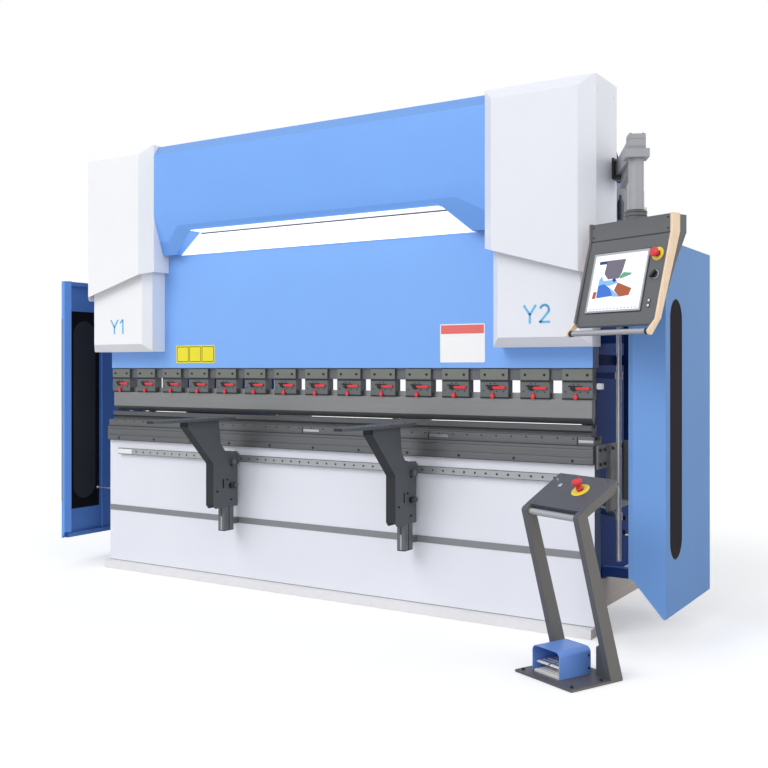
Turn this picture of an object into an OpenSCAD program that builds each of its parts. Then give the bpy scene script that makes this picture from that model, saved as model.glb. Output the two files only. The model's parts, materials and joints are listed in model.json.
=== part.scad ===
// Electrohydraulic press brake with pendant control, back gauge and foot console.
// X runs along the bend line, Y to the back and Z up, in millimetres. The origin
// is on the floor at mid-length, in the bending plane. Right-hand twins are the
// mirror images of the left-hand ones unless a size says otherwise.

/* [Bed] */
// Working length of the bed, the table and the tooling
bend_l = 3200; // [2900:20:3500]
// Thickness of the bed plate and of the ram plate
beam_t = 80; // [60:2:90]
// Height of the base flange and the foot plates
base_h = 45; // [30:1:60]
// Reach of the base flange in front of the bending plane
base_front = 90; // [70:2:130]
// Height of the bed plate's top edge above the floor
bed_top = 801; // [760:1:850]
// Thickness of the front apron sheet
apron_t = 3; // [2:0.5:6]
// Distance from the bed's top edge down to the middle of the front linear rail
track_drop = 67; // [55:1:80]
// Height of the front linear rail
track_w = 38; // [30:1:46]
// How far the front linear rail stands out from the apron
track_out = 22; // [18:1:30]
// Distance from the front rail's ends to the bed's ends
track_inset = 93; // [40:1:160]
// Pitch of the screws in the front rail
screw_pitch = 60; // [40:5:120]
// Height of the lower guide strip's lower edge
strip_z = 359; // [330:1:390]
// Height of the lower guide strip
strip_h = 35; // [25:1:45]
// Thickness of the lower guide strip
strip_t = 3; // [2:0.5:6]

/* [Side frames] */
// Distance from the bed's end to the inner face of a side frame
frame_inset = 250; // [230:2:280]
// Thickness of a side frame
frame_t = 60; // [40:2:80]
// Depth of a side frame behind the bed plate
frame_depth = 1260; // [1150:10:1400]
// Throat depth behind the bed plate
throat_d = 400; // [300:10:420]
// Radius of the throat's inner corners
throat_r = 100; // [60:5:140]
// Distance between the ram's back face and the upper jaw's front edge
guide_d = 110; // [90:2:140]
// Height of the ram guides
guide_h = 140; // [100:5:180]
// Width of the ram guides
guide_w = 90; // [70:2:110]
// Height of the side frame's head above the cylinders
head_room = 40; // [30:1:60]
// Depth and height of the cut-off rear top corner
frame_cut = 540; // [400:10:600]
// Width of a foot plate beside the side frame, inwards
foot_in = 60; // [50:1:90]
// Width of a foot plate beside the side frame, outwards
foot_out = 24; // [15:1:40]
// Radius of the anchor bolt holes
anchor_r = 14; // [10:0.5:18]
// Distance of the rear anchor holes from the frame's back
anchor_inset = 50; // [40:1:80]

/* [Table and lower tool] */
// Depth of the crowning table
table_w = 130; // [120:2:160]
// Height of the crowning table
table_h = 89; // [80:1:100]
// Height and depth of the table's dark grooves
groove = 5; // [3:0.5:8]
// Width of the die rail
rail_w = 104; // [96:2:116]
// Height of the die rail
rail_h = 40; // [34:1:50]
// Depth of the die's seat in its rail
rail_seat = 18; // [12:1:24]
// Length of the first die rail segment
first_rail_l = 720; // [500:10:800]
// Length of the other die rail segments
rail_l = 800; // [600:10:835]
// Height and width of the four-way die
die_w = 70; // [60:1:76]
// Opening of the die's upper groove
vee_top = 40; // [32:1:46]
// Opening of the die's front and rear grooves
vee_side = 22; // [12:1:26]

/* [Upper tool] */
// Gap between the die and the punch at rest
tool_gap = 5; // [2:0.5:8]
// Height of the punch from its tip to its shoulder
punch_h = 115; // [95:1:140]
// Reach of the punch body in front of its tip
punch_front = 28; // [24:0.5:32]
// Thickness of the punch tang
tang_t = 13; // [10:0.5:16]
// Height of the punch tang
tang_h = 30; // [24:1:36]
// Width of a tool clamp
clamp_w = 152; // [120:2:180]
// Distance from one tool clamp to the next
clamp_pitch = 216; // [200:2:260]
// Height of a tool clamp under its bar
clamp_h = 90; // [80:1:110]
// Thickness of a clamp's front plate
clamp_t = 14; // [10:1:18]
// Height of the clamp bar
bar_h = 60; // [50:1:70]
// Length of a clamp lever
lever_l = 83; // [60:1:90]

/* [Ram] */
// Distance from the bed's end to the ram's end
ram_inset = 10; // [6:1:16]
// Height of the ram under the cylinders
ram_side_h = 388; // [360:2:430]
// Height of the ram between the cylinders
ram_mid_h = 808; // [780:2:840]
// Distance from the ram's raised middle to each cylinder
mid_gap = 115; // [100:1:150]
// Stroke of the ram, upwards from its rest
ram_up = 170; // [140:2:180]
// Radius of the piston rods
rod_r = 50; // [40:1:60]
// Radius of the cylinder bores
bore_r = 80; // [72:1:84]
// Outer radius of the cylinders
barrel_r = 115; // [106:1:120]
// Length of the cylinders
barrel_l = 610; // [580:5:640]

/* [Covers] */
// Thickness of the cover sheets
sheet = 3; // [2:0.5:4]
// Distance from the bed's end to the outer face of an upper cover
cover_out = 55; // [48:1:70]
// Width of an upper cover
cover_w = 559; // [550:1:575]
// Height of an upper cover at its outer front edge
cover_h = 895; // [860:5:930]
// Rise of the upper cover's lower edge towards the middle
cover_rise = 120; // [80:2:140]
// Reach of the upper covers in front of the bending plane
cover_front = 232; // [226:1:250]
// Size of the upper cover's corner chamfers
cover_cut = 64; // [50:1:70]
// Height of the upper covers above the side frames
cover_over = 102; // [90:1:120]
// Running gap between upper and lower cover, inner side
gap_in = 35; // [20:1:40]
// Running gap between upper and lower cover, outer side
gap_out = 27; // [18:1:32]
// Running gap between upper and lower cover, front side
gap_front = 44; // [30:1:50]
// Size of the lower cover's corner chamfers
low_cut = 43; // [30:1:50]
// Height of the lower cover's underside above the ram's lower edge
low_lift = 99; // [80:1:120]
// Overlap of the lower cover inside the upper one
overlap_h = 270; // [220:5:290]

/* [Front hood] */
// Height of the hood
hood_h = 647; // [630:1:660]
// Height of the hood's sloping lower face
slope_h = 232; // [200:2:250]
// Reach of the hood in front of the bending plane
hood_front = 168; // [150:1:180]
// Reach of the hood's lower edge in front of the bending plane
hood_toe = 91; // [80:1:105]
// Half width of the light window at its lower edge
window_low = 991; // [950:1:1020]
// Half width of the light window at its upper edge
window_high = 837; // [800:1:880]
// Height of the light window
window_h = 131; // [110:1:150]

/* [Side guards] */
// Distance from the bed's end to the outer face of a guard
guard_gap = 366; // [350:1:400]
// Reach of the guards in front of the bending plane
guard_front = 160; // [140:1:165]
// Depth of the guard's blue sheet
guard_d = 742; // [720:1:760]
// Height of the guard's lower edge
guard_z = 155; // [140:1:160]
// Height of the guard's sheet
guard_h = 1657; // [1600:1:1680]
// Width of the guard's long slot
slot_w = 188; // [160:1:200]
// Height of the slot's lower end
slot_z = 394; // [360:1:440]
// Length of the slot
slot_h = 1168; // [1080:2:1180]
// Width of the front flange on the left guard
flange_left = 28; // [20:1:60]
// Width of the front flange on the right guard
flange_right = 146; // [120:1:160]
// Thickness of the smoked window
window_t = 4; // [3:0.5:6]
// Height of the upper guard arm
arm_z = 1380; // [1340:5:1410]

/* [Electrical cabinet] */
// Width of the cabinet
cab_w = 245; // [220:5:260]
// Depth of the cabinet
cab_d = 250; // [230:10:320]
// Distance of the cabinet behind the bending plane
cab_y = 260; // [250:2:300]
// Height of the cabinet's underside
cab_z = 1505; // [1500:5:1560]
// Height of the cabinet
cab_h = 650; // [560:10:700]

/* [Back gauge] */
// Distance of each gauge rail from the middle
gauge_x = 700; // [500:10:900]
// Distance of each gauge finger from the middle
finger_x = 420; // [250:10:600]
// Distance of the gauge finger tips behind the bending plane
finger_y = 120; // [110:2:160]
// Length of the gauge beam
gauge_l = 2400; // [2000:20:2500]

/* [Support arms] */
// Place of the left support arm along the bed
left_arm_x = -561; // [-700:1:-450]
// Place of the right support arm along the bed
right_arm_x = 629; // [500:1:750]
// Width of the support columns
column_w = 45; // [40:1:52]
// Depth of the support columns
column_d = 80; // [60:1:84]
// Length of the support columns
column_l = 430; // [410:5:435]
// Width of a support shelf
shelf_w = 120; // [100:2:150]
// Length of a support shelf
shelf_l = 610; // [560:5:680]
// Height of a support shelf above the die's seat
shelf_rise = 63; // [50:1:70]

/* [Pendant] */
// Length of the swing arm between its two axes, sideways
reach_x = 177; // [165:1:185]
// Length of the swing arm between its two axes, forwards
reach_y = 349; // [340:1:370]
// Turn of the control housing about its tube
pendant_turn = -23.5; // [-26:0.5:-20]
// Width of the control housing over its cheeks
panel_w = 462; // [440:2:470]
// Thickness of a wooden cheek
cheek_t = 12; // [8:1:16]
// Radius of the pendant tube
tube_r = 32; // [27:1:38]
// Length of the pendant tube
tube_l = 226; // [200:2:240]

/* [Foot console] */
// Place of the console's front left corner, along X
console_x = 1506; // [1480:2:1560]
// Place of the console's front left corner, along Y
console_y = -713; // [-760:2:-700]
// Width of the console
console_w = 332; // [310:2:360]
// Depth of the console's base plate
console_d = 280; // [270:2:300]
// Thickness of the console's base plate
console_t = 10; // [6:1:14]
// Thickness of a console leg
leg_t = 30; // [20:1:36]
// Width of the pedal hood
pedal_hood_w = 161; // [140:1:180]
// Height of the pedal hood
pedal_hood_h = 110; // [100:1:125]

/* [Hidden] */
$fn = 48;

// Colours
blue = "#6ea3ee";
deep_blue = "#5c92dc";
white = "#eceef4";
light_grey = "#c9cbd0";
table_grey = "#7c8084";
dark_grey = "#4c4f55";
black = "#1c1d20";
steel = "#b6b9bd";
red = "#d8262c";
brass = "#b08d4a";
beech = "#f0c79b";

// Clearances
slide_gap = 0.3;   // sliding faces of two bodies
pin_gap = 0.05;    // radial clearance of a pin in its bore

// Levels, from the floor up
table_top = bed_top + table_h;
rail_top = table_top + rail_h;
die_seat = rail_top - rail_seat;
die_top = die_seat + die_w;
tip_z = die_top + tool_gap;
clamp_z = tip_z + punch_h;
bar_z = clamp_z + clamp_h;
ram_z = bar_z + bar_h;
shoulder_z = ram_z + ram_side_h;
ram_top = ram_z + ram_mid_h;
barrel_z = shoulder_z + ram_up + 20;
barrel_top = barrel_z + barrel_l;
frame_top = barrel_top + head_room;
guide_z = shoulder_z - 20 - guide_h;
jaw_low = bed_top - 21;
jaw_high = guide_z - 30;
deck_z = frame_top - 360;
cover_top = frame_top + cover_over;
cover_low = cover_top - cover_h;
low_z = ram_z + low_lift;
hood_top = cover_top - 8;
hood_z = hood_top - hood_h;

// Places along X
half_l = bend_l / 2;
ram_x = half_l - ram_inset;
frame_in = half_l - frame_inset;
frame_out = frame_in + frame_t;
frame_mid = (frame_in + frame_out) / 2;
ram_mid_x = frame_mid - barrel_r - mid_gap;
cover_x1 = half_l + cover_out;
cover_x0 = cover_x1 - cover_w;
low_x0 = cover_x0 + gap_in;
low_x1 = cover_x1 - gap_out;
guard_x = half_l + guard_gap;
cab_x = frame_out + cab_w;

// Places along Y
face = beam_t / 2;                       // faces of the bed and the ram
apron_y = -face - apron_t;
track_y = apron_y - track_out;
foot_y = face + 20;
frame_y = face + guide_d;                // upper jaw's front edge
throat_y = face + throat_d;
frame_back = face + frame_depth;
cross_y = frame_y + 10;

// ---------- shared shapes ----------

module box(low, high) translate(low) cube(high - low);

// A (Y, Z) outline carried along X.
module along_x(x0, x1) translate([x0, 0, 0]) rotate([90, 0, 90]) linear_extrude(x1 - x0) children();

// An (X, Z) outline carried along Y.
module along_y(y0, y1) translate([0, y1, 0]) rotate([90, 0, 0]) linear_extrude(y1 - y0) children();

// The right-hand shape for side 1, its mirror image for side -1.
module on_side(side) mirror([side < 0 ? 1 : 0, 0, 0]) children();

module both_sides() for (side = [-1, 1]) on_side(side) children();

// A round bar between two heights.
module post(x, y, z0, z1, r) translate([x, y, z0]) cylinder(r = r, h = z1 - z0);

// Rounded corners of an outline's arc, as points about a centre.
function arc(c, r, a0, a1, n = 8) =
  [for (i = [0 : n]) c + r * [cos(a0 + (a1 - a0) * i / n), sin(a0 + (a1 - a0) * i / n)]];

// ---------- bed and base ----------

foot_mid = frame_in - foot_in / 2;
anchor_y = foot_y + 190;

module base_frame() color(light_grey) {
  box([-half_l, -base_front, 0], [half_l, foot_y, base_h]);
  both_sides() difference() {
    box([frame_in - foot_in, foot_y, 0], [frame_out + foot_out, frame_back, base_h]);
    for (y = [anchor_y, frame_back - anchor_inset]) post(foot_mid, y, -1, base_h + 1, anchor_r);
  }
}

module bed_beam() color(blue)
  box([-half_l, -face, base_h], [half_l, face, bed_top]);

module bed_apron() color(white)
  box([-half_l, apron_y, base_h], [half_l, -face, bed_top]);

track_z = bed_top - track_drop;
track_x = half_l - track_inset;

module front_rail() color(steel) {
  screws = floor((2 * track_x - 40) / screw_pitch);
  difference() {
    box([-track_x, track_y, track_z - track_w / 2], [track_x, apron_y, track_z + track_w / 2]);
    for (i = [0 : screws])
      translate([(i - screws / 2) * screw_pitch, track_y + 8, track_z])
        rotate([90, 0, 0]) cylinder(r = 5.5, h = 10, $fn = 16);
  }
}

module guide_strip() color(light_grey)
  box([-half_l, apron_y - strip_t, strip_z], [half_l, apron_y, strip_z + strip_h]);

// ---------- side frames and cross members ----------

module throat() {
  height = jaw_high - jaw_low;
  translate([0, jaw_low]) square([throat_y - throat_r, height]);
  translate([0, jaw_low + throat_r]) square([throat_y, height - 2 * throat_r]);
  for (z = [jaw_low + throat_r, jaw_high - throat_r])
    translate([throat_y - throat_r, z]) circle(r = throat_r);
}

module side_frame(side) color(blue) on_side(side)
  along_x(frame_in, frame_out) difference() {
    polygon([
      [face, base_h], [face, jaw_low + 1], [frame_y, jaw_low + 1], [frame_y, frame_top],
      [frame_back - frame_cut, frame_top], [frame_back, frame_top - frame_cut],
      [frame_back, base_h]
    ]);
    throat();
  }

rear_y = frame_back - 400;      // front face of the lower rear tie
rear_z = 300;
rear_h = 400;
tie_t = 50;
gauge_h = 80;                   // height of the gauge rails

stiffener_in = 250;             // the stiffener stops short of the side frames

module cross_members() color(deep_blue) {
  box([-frame_in, rear_y, rear_z], [frame_in, rear_y + tie_t, rear_z + rear_h]);
  box([-frame_in, cross_y, deck_z], [frame_in, rear_y, deck_z + 20]);
  box([-frame_in + stiffener_in, cross_y, deck_z + 20], [frame_in - stiffener_in, cross_y + 20, frame_top]);
}

// ---------- table and lower tool ----------

module crowning_table() color(table_grey)
  along_x(-half_l, half_l) difference() {
    translate([-table_w / 2, bed_top]) square([table_w, table_h]);
    for (z = [bed_top + table_h * 0.37, bed_top + table_h * 0.8], s = [-1, 1])
      translate([s * table_w / 2, z]) square([2 * groove, groove], center = true);
  }

rail_starts = concat([-half_l], [for (x = [-half_l + first_rail_l : rail_l : half_l - 20]) x]);
rail_joint = 1.5;
tool_inset = 18;                         // the tools end before the bed

module die_rail() color(dark_grey)
  for (i = [0 : len(rail_starts) - 1]) {
    x1 = i < len(rail_starts) - 1 ? rail_starts[i + 1] - rail_joint : half_l;
    along_x(rail_starts[i], x1) difference() {
      translate([-rail_w / 2, table_top]) square([rail_w, rail_h]);
      translate([-die_w / 2 - slide_gap, die_seat]) square([die_w + 2 * slide_gap, rail_seat + 1]);
    }
  }

module vee(width) polygon([[-width / 2 - 1, 1], [width / 2 + 1, 1], [0.5, -width / 2], [-0.5, -width / 2]]);

module die_block() color(table_grey)
  along_x(-half_l + tool_inset, half_l - tool_inset) translate([0, die_seat + die_w / 2]) difference() {
    square(die_w, center = true);
    translate([0, die_w / 2]) vee(vee_top);
    for (turn = [-90, 90]) rotate(turn) translate([0, die_w / 2]) vee(vee_side);
    rotate(180) translate([0, die_w / 2]) vee(vee_side * 0.7);
  }

// ---------- upper tool and clamps ----------

clamp_front = -34;               // front plane of the clamps
clamp_back = 30;                 // rear plane of the clamps and their bar
plate_back = clamp_front + clamp_t;
clamp_count = floor((bend_l - clamp_w) / clamp_pitch) + 1;
clamp_xs = [for (i = [0 : clamp_count - 1]) (i - (clamp_count - 1) / 2) * clamp_pitch];

module punch() color(table_grey)
  along_x(-half_l + tool_inset, half_l - tool_inset) polygon([
    [-0.6, tip_z], [-punch_front, tip_z + punch_front * 1.05], [-punch_front, clamp_z],
    [-tang_t / 2, clamp_z], [-tang_t / 2, clamp_z + tang_h], [tang_t / 2, clamp_z + tang_h],
    [tang_t / 2, clamp_z], [16, clamp_z], [16, tip_z + 38], [0.6, tip_z]
  ]);

module clamp_bar() color(dark_grey)
  box([-half_l + tool_inset, plate_back, bar_z], [half_l - tool_inset, clamp_back, ram_z]);

// One clamp: the adapter that holds the tang, its front plate and two cap screws.
module tool_clamp() {
  w = clamp_w / 2;
  difference() {
    union() {
      box([-w + 6, plate_back, clamp_z], [w - 6, clamp_back, bar_z]);
      box([-w, clamp_front, clamp_z], [w, plate_back, ram_z - 5]);
    }
    box([-w - 1, -tang_t / 2, clamp_z - 1], [w + 1, tang_t / 2, clamp_z + tang_h]);
    box([-w - 1, clamp_front - 1, bar_z - 7], [w + 1, clamp_front + 6, bar_z - 1]);
    for (x = [-50, 50]) translate([x, clamp_front - 1, bar_z + bar_h / 2 - 3])
      rotate([-90, 0, 0]) cylinder(r = 7, h = 8, $fn = 24);
  }
}

module tool_clamps() color(dark_grey)
  for (x = clamp_xs) translate([x, 0, 0]) tool_clamp();

lever_x = -18;                   // pivot of a lever, from its clamp's middle
lever_z = clamp_z + 54;

// One lever with its pivot boss, and the release knob under it.
module clamp_lever() {
  translate([lever_x, clamp_front, lever_z]) rotate([90, 0, 0]) cylinder(r = 13, h = 10);
  box([lever_x, clamp_front - 8, lever_z - 8], [lever_x + lever_l, clamp_front - 2, lever_z + 8]);
  translate([lever_x + 12, clamp_front, clamp_z + 11]) rotate([90, 0, 0]) cylinder(r = 11, h = 12);
}

module clamp_levers() color(red)
  for (x = clamp_xs) translate([x, 0, 0]) clamp_lever();

// ---------- ram and its drive ----------

module ram_beam() color(blue)
  along_y(-face, face) polygon([
    [-ram_x, ram_z], [ram_x, ram_z], [ram_x, shoulder_z], [ram_mid_x + 40, shoulder_z],
    [ram_mid_x, shoulder_z + 40], [ram_mid_x, ram_top], [-ram_mid_x, ram_top],
    [-ram_mid_x, shoulder_z + 40], [-ram_mid_x - 40, shoulder_z], [-ram_x, shoulder_z]
  ]);

gland_h = 100;                   // guide length of the rod in the cylinder's end
piston_h = 60;
chamber_z = barrel_z + gland_h;
chamber_top = barrel_top - 40;
piston_z = chamber_top - ram_up - 20 - piston_h;

port_l = 10;                     // length of the cylinder's oil port boss
port_y = 20;

module cylinders() color(deep_blue) both_sides() difference() {
  union() {
    post(frame_mid, 0, barrel_z, barrel_top, barrel_r);
    box([frame_mid - barrel_r, 0, barrel_z + 200], [frame_mid + barrel_r, frame_y, barrel_z + 420]);
    translate([frame_mid - barrel_r - port_l, port_y, pipe_z]) rotate([0, 90, 0])
      cylinder(r = pipe_r + 8, h = port_l + 20);
  }
  post(frame_mid, 0, barrel_z - 1, chamber_z + 1, rod_r + pin_gap);
  post(frame_mid, 0, chamber_z, chamber_top, bore_r);
}

module piston_rods() color(steel) both_sides() {
  post(frame_mid, 0, shoulder_z, piston_z + 1, rod_r);
  post(frame_mid, 0, piston_z, piston_z + piston_h, bore_r - pin_gap);
}

module ram_guides() color(brass) both_sides()
  box([frame_mid - guide_w / 2, face + slide_gap, guide_z],
      [frame_mid + guide_w / 2, frame_y, guide_z + guide_h]);

scale_y = 330;
scale_t = 12;                    // thickness of the scale's carrier plate
head_z = ram_z + 13;

// A C-shaped carrier plate on the bed's end, with the upright scale on it.
module linear_scales() color(light_grey) both_sides() {
  along_x(half_l, half_l + scale_t) polygon([
    [-26, bed_top - 21], [-26, table_top], [415, table_top], [415, bed_top - 234],
    [107, bed_top - 234], [107, bed_top - 21]
  ]);
  box([half_l + scale_t, scale_y, bed_top - 200], [half_l + scale_t + 26, scale_y + 40, ram_z + 238]);
}

module scale_heads() color(dark_grey) both_sides() {
  box([ram_x - 12, face, head_z], [ram_x, scale_y + 30, head_z + 50]);
  box([ram_x, scale_y, head_z], [half_l + scale_t - 0.5, scale_y + 30, head_z + 50]);
}

// ---------- hydraulics ----------

tank_x0 = -300;
tank_x1 = 620;
tank_y0 = cross_y + 170;
tank_y1 = rear_y - 60;
tank_z = deck_z + 20;
tank_h = 340;

module oil_tank() color(light_grey) {
  difference() {
    box([tank_x0, tank_y0, tank_z], [tank_x1, tank_y1, tank_z + tank_h]);
    box([tank_x0 + 5, tank_y0 + 5, tank_z + 5], [tank_x1 - 5, tank_y1 - 5, tank_z + tank_h + 1]);
  }
  box([tank_x0 - 12, tank_y0 - 12, tank_z + tank_h], [tank_x1 + 12, tank_y1 + 12, tank_z + tank_h + 6]);
  post(tank_x0 + 120, tank_y0 + 120, tank_z + tank_h + 6, tank_z + tank_h + 60, 40);
}

motor_x = tank_x1;
motor_y = (tank_y0 + tank_y1) / 2;
motor_z = tank_z + 140;
bell_l = 90;
motor_l = 300;
motor_r = 115;
valve_x = frame_mid - barrel_r - 90;
valve_y = cross_y + 40;
valve_h = 160;
pipe_r = 14;
pipe_z = tank_z + 100;

// The motor with its bell housing and feet, and one valve block for each cylinder.
module pump_unit() color(dark_grey) {
  translate([motor_x, motor_y, motor_z]) rotate([0, 90, 0]) {
    cylinder(r = motor_r - 35, h = bell_l);
    translate([0, 0, bell_l]) cylinder(r = motor_r, h = motor_l);
    translate([0, 0, bell_l + motor_l]) cylinder(r = motor_r - 15, h = 50);
  }
  for (x = [bell_l + 60, bell_l + motor_l - 90]) translate([motor_x, 0, 0])
    box([x, motor_y - 90, tank_z], [x + 40, motor_y + 90, motor_z - 60]);
  translate([motor_x + bell_l, 0, 0])
    box([90, motor_y - 45, motor_z + motor_r - 25], [190, motor_y + 45, motor_z + motor_r + 45]);
  both_sides() box([valve_x, valve_y, tank_z], [valve_x + 120, valve_y + 130, tank_z + valve_h]);
}

// One pipe from the tank to each valve block and one on to its cylinder.
module hydraulic_pipes() color(steel) {
  pipe_y = valve_y + 60;
  bend = 40;
  translate([-valve_x, pipe_y, pipe_z]) rotate([0, 90, 0]) cylinder(r = pipe_r, h = 2 * valve_x);
  translate([(tank_x0 + tank_x1) / 2, pipe_y, pipe_z]) rotate([-90, 0, 0]) cylinder(r = pipe_r, h = tank_y0 - pipe_y);
  both_sides() {
    feed_x = valve_x + pipe_r + 4;
    translate([feed_x, valve_y, pipe_z]) rotate([90, 0, 0])
      cylinder(r = pipe_r, h = valve_y - port_y - bend);
    translate([feed_x + bend, port_y + bend, pipe_z]) rotate([0, 0, 180])
      rotate_extrude(angle = 90) translate([bend, 0]) circle(r = pipe_r);
    translate([feed_x + bend, port_y, pipe_z]) rotate([0, 90, 0])
      cylinder(r = pipe_r, h = frame_mid - barrel_r - port_l - feed_x - bend);
  }
}

// ---------- covers ----------

// Plan outline of a cover with chamfered front corners, back edges at y_back.
module cover_plan(x0, x1, y_front, y_back, cut)
  polygon([
    [x0, y_back], [x0, y_front + cut], [x0 + cut, y_front], [x1 - cut, y_front],
    [x1, y_front + cut], [x1, y_back]
  ]);

cover_y = -cover_front;
cover_back = 104;                // rear edge of the cover's outer side
inner_back = -face - 2;          // rear edge of the sheets that stand before the ram
top_cut = 60;                    // bevel along the cover's top front edge
stay_w = 30;                     // brackets from the covers to the side frames

module cover_form(grow) intersection() {
  translate([0, 0, cover_low - 60]) linear_extrude(cover_h + 60 - grow)
    cover_plan(cover_x0 + grow, cover_x1 - grow, cover_y + grow, cover_back + grow * 2, cover_cut);
  along_x(cover_x0 - 1, cover_x1 + 1) polygon([
    [cover_back + 10, cover_low - 61], [cover_y + grow, cover_low - 61],
    [cover_y + grow, cover_top - top_cut - grow * 0.4], [cover_y + top_cut + grow * 0.4, cover_top - grow],
    [cover_back + 10, cover_top - grow]
  ]);
}

// Fixed cover in front of one cylinder; its lower edge rises towards the middle.
module upper_cover(side) color(white) on_side(side) {
  rise = cover_rise / (cover_w - 2 * cover_cut);
  difference() {
    cover_form(0);
    cover_form(sheet);
    along_y(cover_y - 10, cover_back + 20) polygon([
      [cover_x0 - 10, cover_low - 100], [cover_x1 + 10, cover_low - 100],
      [cover_x1 + 10, cover_low - (cover_cut + 10) * rise],
      [cover_x0 - 10, cover_low + cover_rise + (cover_cut + 10) * rise]
    ]);
    box([cover_x0 - 1, inner_back, cover_low - 100], [cover_x0 + sheet + 1, cover_back + 20, cover_top - 90]);
  }
  box([frame_mid - stay_w / 2, cover_y + sheet, frame_top - stay_w],
      [frame_mid + stay_w / 2, frame_y, frame_top - 5]);
}

low_y = cover_y + gap_front;
low_back = -face;
low_top = cover_low + overlap_h;
low_bevel = 45;

module low_form(grow) intersection() {
  translate([0, 0, low_z + grow]) linear_extrude(low_top - low_z + grow)
    cover_plan(low_x0 + grow, low_x1 - grow, low_y + grow, low_back + grow * 2, low_cut);
  along_x(low_x0 - 1, low_x1 + 1) polygon([
    [low_back + 10, low_z + grow], [low_y + low_bevel + grow * 0.4, low_z + grow],
    [low_y + grow, low_z + low_bevel + grow * 0.4], [low_y + grow, low_top + 10],
    [low_back + 10, low_top + 10]
  ]);
}

// Cover that travels with the ram, inside the fixed one.
module lower_cover(side) color(white) on_side(side) {
  difference() {
    low_form(0);
    low_form(sheet);
    box([low_x0 - 1, low_back - 20, low_top], [low_x1 + 1, low_back + 20, low_top + 50]);
    box([low_x0 - 1, low_back, low_z - 1], [low_x1 + 1, low_back + 20, low_top + 50]);
    box([low_x0 - 1, low_y - 1, low_top], [low_x1 + 1, low_back + 20, low_top + 50]);
  }
  box([ram_x - 30, low_back - sheet, low_z], [low_x1, low_back, shoulder_z]);
}

// ---------- front hood ----------

slope_top = hood_z + slope_h;
hood_bevel = 55;
lean = (hood_front - hood_toe) / slope_h;
window_top = hood_z + window_h;
flange_back = -face - 6;

function hood_outline(grow) = [
  [-hood_toe + grow, hood_z], [-hood_front + grow, slope_top],
  [-hood_front + grow, hood_top - hood_bevel - grow * 0.35],
  [-hood_front + 41 + grow * 0.35, hood_top - grow]
];

module hood_window(grow) {
  side = grow * 1.3;
  polygon([
    [-window_low - side, hood_z - 1], [-window_high - side, window_top + grow],
    [window_high + side, window_top + grow], [window_low + side, hood_z - 1]
  ]);
}

// One folded sheet: bevelled top, upright front, sloping toe and the flanges of
// the light window, carried by the upper cross member.
module front_hood() color(blue) {
  hood_x = cover_x0;
  difference() {
    along_x(-hood_x, hood_x) polygon(concat(
      hood_outline(0), [[cross_y, hood_top], [cross_y, hood_top - sheet]],
      [for (i = [3 : -1 : 0]) hood_outline(sheet)[i]]
    ));
    along_y(-hood_front - 1, 0) hood_window(0);
  }
  intersection() {
    difference() {
      along_y(-hood_front, flange_back) hood_window(sheet);
      along_y(-hood_front - 1, flange_back + 1) hood_window(0);
    }
    along_x(-hood_x, hood_x) polygon(concat(
      hood_outline(0), [[flange_back, hood_top], [flange_back, hood_z]]
    ));
  }
  box([-frame_in + 300, cross_y - sheet, frame_top - 60], [frame_in - 300, cross_y, hood_top]);
}

module light_panel() color(white)
  along_y(flange_back, flange_back + sheet) intersection() {
    hood_window(sheet);
    translate([-half_l, hood_z]) square([bend_l, hood_h]);
  }

// ---------- side guards ----------

hinge_x = guard_x - 25;
hinge_y = -guard_front + guard_d + 15;
hinge_r = 8;
lug_r = 14;
guard_sheet = 2.5;
guard_top = guard_z + guard_h;
low_arm_z = 160;
arm_h = 50;
ear_h = 10;

// Square tubes from the side frame to the guard's two hinge pins.
module guard_arms() color(deep_blue) both_sides()
  for (level = [low_arm_z, arm_z]) {
    up = level == low_arm_z;
    box([frame_out, hinge_y - arm_h / 2, level], [hinge_x - 40, hinge_y + arm_h / 2, level + arm_h]);
    box([hinge_x - 41, hinge_y - lug_r, level], [hinge_x, hinge_y + lug_r, level + arm_h]);
    post(hinge_x, hinge_y, level, level + arm_h, lug_r);
    if (up) post(hinge_x, hinge_y, level + arm_h - 1, level + arm_h + 30, hinge_r);
    else post(hinge_x, hinge_y, level - 30, level + 1, hinge_r);
  }

module slot_outline(y, width, z0, z1) {
  r = width / 2;
  translate([y - r, z0 + r]) square([width, z1 - z0 - width]);
  for (z = [z0 + r, z1 - r]) translate([y, z]) circle(r = r);
}

slot_left_y = 63;
slot_right_y = 0;

// Folded guard sheet with its long slot, front flange and hinge ears.
module guard(side, flange, slot_y, front) color(blue) on_side(side) {
  y0 = -front;
  y1 = guard_d - guard_front;
  in_x = guard_x - guard_sheet;
  along_x(in_x, guard_x) difference() {
    translate([y0, guard_z]) square([y1 - y0, guard_h]);
    slot_outline(slot_y, slot_w, slot_z, slot_z + slot_h);
  }
  along_y(y0, y0 + guard_sheet) polygon([
    [guard_x, guard_z], [guard_x, guard_top], [guard_x - flange, guard_top],
    [guard_x - flange, guard_z + flange + 10], [guard_x - 10, guard_z]
  ]);
  translate([guard_x - flange, y0, guard_z + flange + 10]) linear_extrude(guard_h - flange - 10)
    polygon([[0, 0], [guard_sheet * 2, 0], [guard_sheet * 2, guard_sheet], [guard_sheet - 30, 30 + guard_sheet], [-30, 30]]);
  box([hinge_x - 15, y1 - guard_sheet, guard_z], [guard_x, y1, guard_top]);
  for (z = [low_arm_z + arm_h + slide_gap, arm_z - ear_h - slide_gap]) difference() {
    union() {
      box([hinge_x - 12, y1 - 1, z], [hinge_x + 12, hinge_y, z + ear_h]);
      post(hinge_x, hinge_y, z, z + ear_h, 12);
    }
    post(hinge_x, hinge_y, z - 1, z + ear_h + 1, hinge_r + pin_gap);
  }
}

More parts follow.
